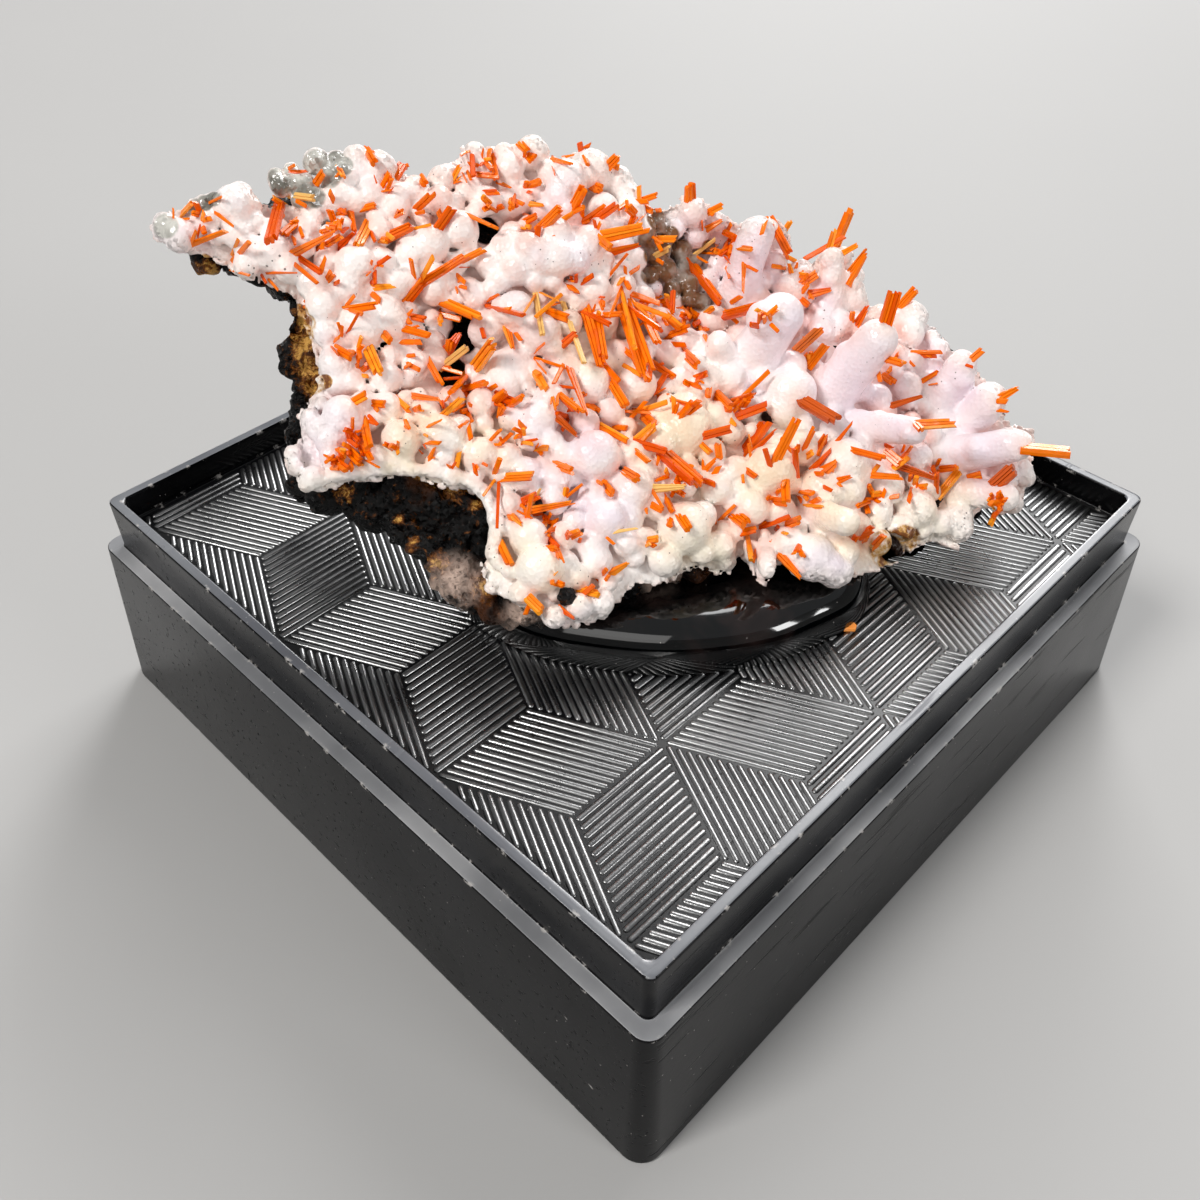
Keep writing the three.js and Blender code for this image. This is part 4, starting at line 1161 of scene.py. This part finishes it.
def make_crust():
    block = crust_block()
    places, faces = main_body(*skin(block))
    x, y, height = places.T
    vertices = place(x, y, height)
    normals = vertex_normals(vertices, faces)
    crease = np.clip(crease_of(vertices, faces, normals) / CREASE_DEPTH, 0, 1)
    rough = np.clip(1 + edge_distance(CRUST_EDGE, x, y) / BROKEN_REACH, 0, 1)
    rough = np.maximum(rough, nearness(SUGARY, x, y))
    bumps = 0.035 * layered_noise(vertices, 0.8, 2, 1) + 0.016 * noise(vertices, 0.25, 5)
    bumps += rough * (0.07 * layered_noise(vertices, 0.42, 2, 9) + 0.03 * noise(vertices, 0.2, 13))
    bumps *= np.clip(normals @ toward_eye + 0.8, 0, 1)
    # Painted shade: depth under the surroundings, creases and the shaded zones darken the colour.
    recess = 0.6 * recess_of(block, places) + 0.6 * crease + 0.4 * nearness(PAINTED_SHADE_ZONES, x, y)
    lilac = nearness(LILAC, x, y)
    piece = add_piece(
        "crust", vertices + normals * bumps[:, None], faces, gibbsite_material(), "gibbsite",
        ["gibbsite_crust"],
        rough=rough,
        recess=np.clip(recess, 0, 1),
        pit=pit_of(x, y, height),
        cream=0.8 * nearness(CREAM + widened(LIP, 2.6), x, y) ** 0.5,
        lilac=lilac ** 0.5,
        glow=glow_of(x, y) * (1 - 0.6 * lilac),
        stain=nearness(widened(GREY_BALLS), x, y),
        brown=nearness(widened(BROWN_BALLS), x, y),
        rust=nearness(RUST, x, y),
    )
    piece.modifiers.new("fewer_faces", "DECIMATE").ratio = CRUST_FACES_KEPT
    return piece


# ---- Rock ----

ROCK_SPANS = ((160, 1030), (140, 660), (-11.0, 1.4))
ROCK_CELL = 1.05 * CELL
ROCK_SEAT = 10.6
ROCK_RAISE = 0.1
ROCK_LEAST_DEPTH = 0.4
ROCK_EDGE_SHARE = 0.3
ROCK_TAPER = 75
HOLLOW_BLEND = 0.15


def rock_block():
    block = Block(ROCK_SPANS, ROCK_CELL)
    face = relief(block.x, block.y) - SHEET_SINK - CRUST_THICKNESS + ROCK_RAISE
    edge = edge_distance(ROCK_OUTLINE, block.x, block.y)
    share = np.clip(ROCK_EDGE_SHARE - (1 - ROCK_EDGE_SHARE) * edge / ROCK_TAPER, 0, 1)
    depth = between(ROCK_DEPTH, block.x, block.y) * share
    block.slab(face, ROCK_LEAST_DEPTH + depth, edge, turn=0.3, rim=0.4)
    for x, y, units, height in ROCK_HOLLOWS:
        block.cut(*block.ball(x, y, units, relief(x, y) + height), HOLLOW_BLEND)
    return block


def make_rock():
    places, faces = main_body(*skin(rock_block()))
    x, y, height = places.T
    vertices = place(x, y, height)
    crags = 0.24 * layered_noise(vertices, 1.6, 2, 21) - 0.5 * np.abs(noise(vertices, 0.8, 31)) + 0.15
    crags += 0.2 * noise(vertices, 0.42, 41) - 0.2 * np.abs(noise(vertices, 0.3, 45))
    vertices = vertices + vertex_normals(vertices, faces) * crags[:, None]
    vertices[:, 2] = np.maximum(vertices[:, 2], ROCK_SEAT)
    return add_piece(
        "rock", vertices, faces, rock_material(), "rock", ["matrix"],
        golden=nearness(GOLDEN, x, y), pale=nearness(PALE_ROCK, x, y),
    )


# ---- Crocoite ----

# A lath's section, as shares of its half width and half thickness.
LATH_OUTLINE = [(1, 0), (0.6, 1), (-0.6, 1), (-1, 0), (-0.6, -1), (0.6, -1)]
LATH_WIDTH = 0.13
MOST_LATHS = 4
FOOT_SEARCH = 0.01
FOOT_SINK = 0.2
PRISM_GROWTH = 0.15
PRISM_CLEARANCE = 0.12
PASSED_SHARES = (0.35, 0.5, 0.65, 0.8, 1.0)
SHORTEST_COMPANION = 7
THINNEST_COMPANION = 2.5


def lath(foot, tip, across, thin, half_width, half_thickness, slant, taper):
    """One flat-sided crystal: six lengthwise faces between two blunt ends, the outer one slanting."""
    axis = (tip - foot) / np.linalg.norm(tip - foot)
    vertices = []
    for end, narrow, lean in ((foot, 1, 0), (tip, taper, slant)):
        for a, t in LATH_OUTLINE:
            out = across * a * half_width * narrow + thin * t * half_thickness * narrow
            vertices.append(end + axis * lean * a * half_width + out)
    return vertices, closed_tube(2, len(LATH_OUTLINE))


def bundle(foot, tip, width):
    """A crystal made of a few parallel laths of unlike length, which gives its lengthwise grooves."""
    axis = tip - foot
    length = np.linalg.norm(axis)
    axis /= length
    across = np.cross(axis, toward_eye)
    across /= np.linalg.norm(across)
    thin = np.cross(axis, across)
    turn = RNG.normal(0, 0.5)
    across, thin = (
        across * math.cos(turn) + thin * math.sin(turn),
        thin * math.cos(turn) - across * math.sin(turn),
    )
    count = int(np.clip(round(width / LATH_WIDTH), 1, MOST_LATHS))
    taper = RNG.choice([1.0, 0.85, 0.45], p=[0.55, 0.3, 0.15])
    shares = RNG.uniform(0.7, 1.3, count)
    shares /= shares.sum()
    offset = -0.5
    laths = []
    for share in shares:
        middle = (offset + share / 2) * width
        offset += share
        start = foot + across * middle + thin * RNG.normal(0, 0.035) * width
        end = start + axis * length * RNG.uniform(0.84, 1.02) + across * middle * (taper - 1)
        half_thickness = width * RNG.uniform(0.24, 0.34)
        half_width = share * width * 0.62
        slant = RNG.uniform(-0.8, 0.8)
        laths.append(lath(start, end, across, thin, half_width, half_thickness, slant, taper))
    return laths


def companions():
    """Smaller prisms that spring from beside the feet of some of the larger ones."""
    made = []
    for x0, y0, x1, y1, units in PRISMS:
        for _ in range(RNG.choice([0, 1, 2], p=[0.2, 0.4, 0.4])):
            turn = math.atan2(y1 - y0, x1 - x0) + RNG.choice([-1, 1]) * RNG.uniform(0.3, 1.2)
            length = max(SHORTEST_COMPANION, math.hypot(x1 - x0, y1 - y0) * RNG.uniform(0.3, 0.7))
            fx, fy = (x0, y0) + RNG.normal(0, 0.6, 2) * units
            tip_x, tip_y = fx + length * math.cos(turn), fy + length * math.sin(turn)
            width = max(THINNEST_COMPANION, units * RNG.uniform(0.35, 0.7))
            made.append((fx, fy, tip_x, tip_y, width))
    return made


def druse():
    """Clusters of small prisms, as (foot x, foot y, tip x, tip y, width)."""
    made = []
    for x, y, radius, count in DRUSE:
        for _ in range(count):
            angle, out = RNG.uniform(0, 2 * math.pi), radius * math.sqrt(RNG.uniform())
            fx, fy = x + out * math.cos(angle), y + out * math.sin(angle)
            turn, length = RNG.uniform(0, 2 * math.pi), RNG.uniform(7, 15)
            tip_x, tip_y = fx + length * math.cos(turn), fy + length * math.sin(turn)
            made.append((fx, fy, tip_x, tip_y, RNG.uniform(3, 6)))
    return made


def make_crocoite(crust):
    """All the orange prisms, their feet sunk in the crust where the line of sight meets it."""
    tree = BVHTree.FromPolygons(
        [v.co / MM for v in crust.data.vertices],
        [tuple(p.vertices) for p in crust.data.polygons],
    )

    def surface(x, y):
        """Height off the face plane at which a line of sight meets the crust, or None."""
        line = sight_lines(x, y)
        hit = tree.ray_cast(Vector(EYE), Vector(line))
        return None if hit[0] is None else (reaches(line) - hit[3]).item()

    laths, tint, dark, pale = [], [], [], []
    for x0, y0, x1, y1, units in PRISMS + companions() + druse():
        foot_height = surface(x0, y0)
        while foot_height is None:
            x0, y0 = x0 + (FACE_MIDDLE[0] - x0) * FOOT_SEARCH, y0 + (FACE_MIDDLE[1] - y0) * FOOT_SEARCH
            foot_height = surface(x0, y0)
        x1, y1 = x1 + (x1 - x0) * PRISM_GROWTH, y1 + (y1 - y0) * PRISM_GROWTH
        seen = view_size(x0, y0, math.hypot(x1 - x0, y1 - y0))
        tip_height = foot_height + seen * RNG.uniform(0.2, 0.65)
        for share in PASSED_SHARES:
            passed = surface(x0 + (x1 - x0) * share, y0 + (y1 - y0) * share)
            if passed is not None:
                tip_height = max(tip_height, foot_height + (passed + PRISM_CLEARANCE - foot_height) / share)
        tip_height = min(tip_height, foot_height + 1.5 * seen + 0.3)
        foot, tip = place(x0, y0, foot_height - FOOT_SINK), place(x1, y1, tip_height)
        shade = RNG.uniform()
        for points, sides in bundle(foot, tip, view_size(x0, y0, units)):
            laths.append((points, sides))
            tint += [np.clip(shade + RNG.normal(0, 0.12), 0, 1)] * len(points)
            dark += [float((x0, y0) in DARK_PRISMS)] * len(points)
            pale += [float((x0, y0) in PALE_PRISMS)] * len(points)
    return add_piece(
        "crocoite_prisms", *joined(laths), crocoite_material(), "crocoite", [],
        smooth=False, tint=tint, dark=dark, pale=pale,
    )


# ---- Loose bits ----

LOOSE_CHIP = (846, 627)
CHIP_LENGTH = 0.9
CHIP_WIDTH = 0.36
BLACK_GRAIN = (567, 597)
GRAIN_UNITS = 10
GRAIN_SIDES = 6

# Heights and girths of the rings of the grain, as shares of its size.
GRAIN_RINGS = ((-1.2, 0.7), (-0.45, 1.0), (0.4, 0.9), (0.8, 0.45))


def floor_place(x, y, height):
    """The point of the tray seen at a view place, at a height in mm."""
    line = sight_lines(x, y)
    return EYE + line * (height - EYE[2]) / line[2]


def make_chip():
    """A broken prism that lies on the tray."""
    middle = floor_place(*LOOSE_CHIP, FLOOR_HEIGHT + RIB_HEIGHT + CHIP_WIDTH * 0.3)
    reach = side * CHIP_LENGTH / 2
    add_piece(
        "loose_chip", *joined(bundle(middle - reach, middle + reach, CHIP_WIDTH)),
        crocoite_material(), "crocoite", [], smooth=False, tint=0.6, dark=0.0, pale=0.4,
    )


def make_grain():
    """A black crystal that sits on the crust near its lower edge."""
    x, y = BLACK_GRAIN
    centre = place(x, y, relief(x, y) + 0.5)
    size = view_size(x, y, GRAIN_UNITS)
    vertices = []
    for up, reach in GRAIN_RINGS:
        for turn in range(GRAIN_SIDES):
            angle = turn * 2 * math.pi / GRAIN_SIDES + 0.4 * up
            out = size * reach * RNG.uniform(0.82, 1.15)
            flat = view_right * math.cos(angle) * out + view_up * math.sin(angle) * out
            vertices.append(centre + flat + toward_eye * size * up * RNG.uniform(0.85, 1.1))
    add_piece(
        "black_grain", vertices, closed_tube(len(GRAIN_RINGS), GRAIN_SIDES), rock_material(), "rock", [],
        smooth=False, golden=0.0, pale=0.0,
    )


# ---- Display base ----

CORNER_STEPS = 8
FILLET_STEPS = 3
FILLET_MARGIN = 0.07
LEVEL_FACE = 0.8
DECK_SHOWN = 2
WALL_CORNER = 0.35
HOLE_CORNER = 0.5


def rounded_profile(points):
    """A profile of (half width, height, fillet radius) points with its corners rounded.

    Each point comes out as (half width, height, wear), with wear 1 on the fillets and 0 elsewhere.
    """
    made = []
    count = len(points)
    for i, (half, height, radius) in enumerate(points):
        here = np.array([half, height])
        if i in (0, count - 1) or not radius:
            made.append((half, height, 0.0))
            continue
        before = np.array(points[i - 1][:2]) - here
        after = np.array(points[i + 1][:2]) - here
        before, after = before / np.linalg.norm(before), after / np.linalg.norm(after)
        made.append((*(here + before * (radius + FILLET_MARGIN)), 0.0))
        for share in np.linspace(0, 1, FILLET_STEPS + 1):
            start, end = here + before * radius, here + after * radius
            bend = (1 - share) ** 2 * start + 2 * share * (1 - share) * here + share ** 2 * end
            made.append((*bend, 1.0))
        made.append((*(here + after * (radius + FILLET_MARGIN)), 0.0))
    return made


def square_ring(half, radius, height):
    """Points round a square with rounded corners."""
    angles = [(c + s / CORNER_STEPS) * math.pi / 2 for c in range(4) for s in range(CORNER_STEPS + 1)]
    quarter = [c for c in range(4) for _ in range(CORNER_STEPS + 1)]
    signs = [(1, 1), (-1, 1), (-1, -1), (1, -1)]
    return [
        (x * (half - radius) + radius * math.cos(a), y * (half - radius) + radius * math.sin(a), height)
        for a, (x, y) in zip(angles, (signs[q] for q in quarter))
    ]


def corner_radius(half):
    """Corners stay parallel: those of an inner wall are tighter."""
    if half < TRAY_HALF - 1:
        return HOLE_CORNER
    return max(WALL_CORNER, CORNER_RADIUS - 0.5 * (FOOT_HALF - half))


def make_base():
    deck = FLOOR_HEIGHT - DECK_THICKNESS
    profile = rounded_profile([
        (LEDGE_HALF - WALL_THICKNESS - DECK_SHOWN, deck, 0),
        (LEDGE_HALF - WALL_THICKNESS, deck, 0.3),
        (FOOT_HALF - WALL_THICKNESS, 0, 0.1),
        (FOOT_HALF, 0, 0.12),
        (LEDGE_HALF, LEDGE_HEIGHT, 0.06),
        (TRAY_HALF, LEDGE_HEIGHT, 0.08),
        (TRAY_HALF, RIM_HEIGHT, 0.1),
        (TRAY_HALF - RIM_WIDTH, RIM_HEIGHT, 0.1),
        (TRAY_HALF - RIM_WIDTH, FLOOR_HEIGHT, 0.12),
        (TRAY_HALF - RIM_WIDTH - DECK_SHOWN, FLOOR_HEIGHT, 0),
    ])
    vertices, wear = [], []
    for half, height, worn in profile:
        ring = square_ring(half, corner_radius(half), height)
        vertices += ring
        wear += [worn] * len(ring)
    faces = closed_tube(len(profile), len(ring))
    base = add_piece(
        "box_base", vertices, faces, wall_material(), "base_plastic", ["display_base"], wear=wear,
    )
    levels = [FLOOR_HEIGHT, RIM_HEIGHT, LEDGE_HEIGHT]
    for material in (tray_material(), rim_painted_light_material(), ledge_painted_light_material()):
        base.data.materials.append(material)
    # Upward faces at the rim and ledge take the grey copies of the plastic, which is painted light.
    for face in base.data.polygons:
        if face.normal.z > LEVEL_FACE:
            steps = [abs(face.center.z / MM - level) for level in levels]
            face.material_index = 1 + int(np.argmin(steps))
    return base


# Moulded floor pattern: a lattice of rhombs, each filled with ribs along one of its sides.
COLUMN = 4.549
RISE = 2.172
LATTICE_X = -13.63
LATTICE_Y = -14.42
RIB_COUNT = 14
RIB_HEIGHT = 0.055
RIB_END_GAP = 0.06
RIB_SHARE = 0.38
SHORTEST_RIB = 0.35
RIB_REGION = ((-14.62, 14.62), (-14.36, 14.62))

# A rib's section, as shares of its half width and height, and the stations along it from one end to
# the other, as (way from the nearer end, girth) in shares of its half width.
RIB_SECTION = [
    (-1.0, -0.4), (-0.95, 0.1), (-0.62, 0.7), (-0.22, 0.97),
    (0.22, 0.97), (0.62, 0.7), (0.95, 0.1), (1.0, -0.4),
]
RIB_STATIONS = [(0, 0.35), (0.35, 0.85), (1.0, 1.0), (-1.0, 1.0), (-0.35, 0.85), (0, 0.35)]


def rhombs():
    """Each rhomb as (corner, side along its ribs, side across them)."""
    found = {}
    upright = np.array([0, 2 * RISE])
    rising, falling = np.array([COLUMN, RISE]), np.array([COLUMN, -RISE])
    for i in range(-2, 9):
        for j in range(-6, 20, 3):
            if (j % 6 == 0) != (i % 2 == 0):
                continue
            hub = np.array([LATTICE_X + i * COLUMN, LATTICE_Y + j * RISE])
            for turn in (1, -1):
                for along, across in (
                    (turn * rising, turn * upright),
                    (turn * falling, turn * rising),
                    (-turn * upright, turn * falling),
                ):
                    centre = hub + (along + across) / 2
                    found.setdefault(tuple(np.round(centre, 2)), (hub, along, across))
    return list(found.values())


def clipped(start, end):
    """The part of a stretch that lies within the ribbed region, or None."""
    low, high = 0.0, 1.0
    for axis, (least, most) in enumerate(RIB_REGION):
        delta = end[axis] - start[axis]
        if abs(delta) < 1e-9:
            if not least <= start[axis] <= most:
                return None
            continue
        shares = sorted([(least - start[axis]) / delta, (most - start[axis]) / delta])
        low, high = max(low, shares[0]), min(high, shares[1])
    if low >= high:
        return None
    return start + low * (end - start), start + high * (end - start)


def rib(start, end, half_width):
    """One rounded ridge with rounded ends, sunk a little in the floor."""
    length = np.linalg.norm(end - start)
    axis = (end - start) / length
    across = np.array([-axis[1], axis[0]])
    vertices = []
    for station, (back, size) in enumerate(RIB_STATIONS):
        place_along = back * half_width + (0 if station < len(RIB_STATIONS) / 2 else length)
        for side_share, up in RIB_SECTION:
            flat = start + axis * place_along + across * side_share * half_width * size
            vertices.append((*flat, FLOOR_HEIGHT + RIB_HEIGHT * (up if up < 0 else up * size)))
    return vertices, closed_tube(len(RIB_STATIONS), len(RIB_SECTION), inward=True)


def make_ribs():
    ribs = []
    for corner, along, across in rhombs():
        run = along / np.linalg.norm(along)
        pitch = abs(run[0] * across[1] - run[1] * across[0]) / RIB_COUNT
        for k in range(RIB_COUNT):
            start = corner + across * (k + 0.5) / RIB_COUNT + run * RIB_END_GAP
            ends = clipped(start, start + along - run * 2 * RIB_END_GAP)
            if ends is not None and np.linalg.norm(ends[1] - ends[0]) >= SHORTEST_RIB:
                ribs.append(rib(*ends, pitch * RIB_SHARE))
    return add_piece("tray_ribs", *joined(ribs), rib_material(), "base_plastic", [])


# ---- Glue ----

GLUE_CENTRE = (4.06, -2.33)
GLUE_HALF_LENGTH = 8.0
GLUE_HALF_WIDTH = 4.3
GLUE_THICKNESS = 2.0
GLUE_ANGLE = math.radians(44)
GLUE_SEGMENTS = 128
GLUE_UNEVEN = 0.09

# The bank from its foot to the top, as shares of the pool's half width and thickness.
GLUE_BANK = [
    (0.95, -0.02), (1.0, 0.0), (1.005, 0.1), (1.0, 0.24), (0.985, 0.42), (0.965, 0.58), (0.935, 0.72),
    (0.89, 0.85), (0.83, 0.93), (0.76, 0.98), (0.66, 1.0), (0.52, 1.01), (0.36, 1.02), (0.18, 1.02),
]

# How the outline wavers: share of the width, waves round it, and where they start.
GLUE_WAVER = [(0.018, 3, 0.6), (0.012, 5, 2.0), (0.006, 11, 0.0)]


def make_glue():
    """The set pool: a steep rounded bank and a gently uneven top."""
    angles = np.linspace(0, 2 * math.pi, GLUE_SEGMENTS, endpoint=False)
    waver = 1 + sum(depth * np.sin(count * angles + start) for depth, count, start in GLUE_WAVER)
    rings = []
    for out, up in GLUE_BANK:
        x = GLUE_HALF_LENGTH * out * np.cos(angles) * waver
        y = GLUE_HALF_WIDTH * out * np.sin(angles) * waver
        rings.append(np.stack([
            GLUE_CENTRE[0] + x * math.cos(GLUE_ANGLE) - y * math.sin(GLUE_ANGLE),
            GLUE_CENTRE[1] + x * math.sin(GLUE_ANGLE) + y * math.cos(GLUE_ANGLE),
            np.full(len(angles), FLOOR_HEIGHT + GLUE_THICKNESS * up),
        ], axis=1))
    vertices = np.concatenate(rings)
    upper = np.clip((vertices[:, 2] - FLOOR_HEIGHT) / GLUE_THICKNESS, 0, 1)
    vertices[:, 2] += GLUE_UNEVEN * upper * noise(vertices, 2.4, 3)
    faces = closed_tube(len(GLUE_BANK), GLUE_SEGMENTS)
    return add_piece("glue_pool", vertices, faces, glue_material(), "glue", ["glue"])


# ---- Stage, light and camera ----

FLOOR_REACH = 900
FLOOR_CURVE = 350
FLOOR_SIDES = 96
CURVE_STEPS = 12
AIM = (0, 0, 14)
WARM_TONE = (1.0, 0.985, 0.96)
SKY_TONE = (0.96, 0.98, 1, 1)
SKY_STRENGTH = 0.27
SENSOR_WIDTH = 36


def make_floor():
    """A broad round floor whose rim curves up into a plain backdrop all the way round."""
    bends = np.linspace(0, math.pi / 2, CURVE_STEPS)
    profile = [(FLOOR_REACH / 9, 0), (FLOOR_REACH / 3, 0)]
    profile += [
        (FLOOR_REACH + FLOOR_CURVE * math.sin(a), FLOOR_CURVE * (1 - math.cos(a))) for a in bends
    ]
    profile.append((FLOOR_REACH + FLOOR_CURVE, 2 * FLOOR_CURVE))
    turns = np.linspace(0, 2 * math.pi, FLOOR_SIDES, endpoint=False)
    vertices = [(r * math.cos(t) * MM, r * math.sin(t) * MM, z * MM) for r, z in profile for t in turns]
    faces = [tuple(range(FLOOR_SIDES))] + tube_faces(len(profile), FLOOR_SIDES, inward=True)
    mesh = bpy.data.meshes.new("floor")
    mesh.from_pydata(vertices, [], faces)
    mesh.materials.append(floor_material())
    mesh.shade_smooth()
    floor = bpy.data.objects.new("floor", mesh)
    bpy.context.scene.collection.objects.link(floor)


def add_light(name, spot, size, watts, tone=(1, 1, 1)):
    """A square soft box at a spot in mm that faces the specimen."""
    light = bpy.data.lights.new(name, "AREA")
    light.shape, light.size, light.energy, light.color = "SQUARE", size * MM, watts, tone
    lamp = bpy.data.objects.new(name, light)
    lamp.matrix_world = Matrix.Translation(Vector(spot) * MM) @ (
        (Vector(AIM) - Vector(spot)).to_track_quat("-Z", "Y").to_matrix().to_4x4()
    )
    bpy.context.scene.collection.objects.link(lamp)


def seen_from(across, towards, up):
    """A spot in mm from the middle of the tray: to the viewer's right, towards the viewer, and up."""
    return tuple(side * across - away * towards + np.array([0, 0, up]))


def light_the_stage():
    add_light("back", seen_from(186, -381, 424), 300, 1.8)
    add_light("window", seen_from(96, -540, 260), 200, 1.8)
    add_light("left", seen_from(-300, 190, 440), 150, 2.1, WARM_TONE)
    add_light("front", seen_from(-130, 470, 320), 300, 0.45, WARM_TONE)
    add_light("right", seen_from(470, 305, 215), 160, 1.0)
    world = bpy.data.worlds.new("studio")
    world.use_nodes = True
    background = world.node_tree.nodes["Background"]
    background.inputs["Color"].default_value = SKY_TONE
    background.inputs["Strength"].default_value = SKY_STRENGTH
    bpy.context.scene.world = world
    bpy.context.scene.view_settings.view_transform = "Standard"


def add_camera():
    data = bpy.data.cameras.new("camera")
    data.sensor_fit, data.sensor_width = "HORIZONTAL", SENSOR_WIDTH
    data.lens = VIEW_LENGTH / (2 * VIEW_CENTRE) * SENSOR_WIDTH
    data.clip_start, data.clip_end = 0.001, 5
    camera = bpy.data.objects.new("camera", data)
    turn = np.stack([view_right, view_up, toward_eye], axis=1)
    camera.matrix_world = Matrix.Translation(Vector(EYE) * MM) @ Matrix(turn.tolist()).to_4x4()
    bpy.context.scene.collection.objects.link(camera)
    bpy.context.scene.camera = camera


# ---- All of it ----

crust = make_crust()
make_crocoite(crust)
make_rock()
make_base()
make_ribs()
make_glue()
make_chip()
make_grain()
make_floor()
light_the_stage()
add_camera()

bpy.context.view_layer.update()
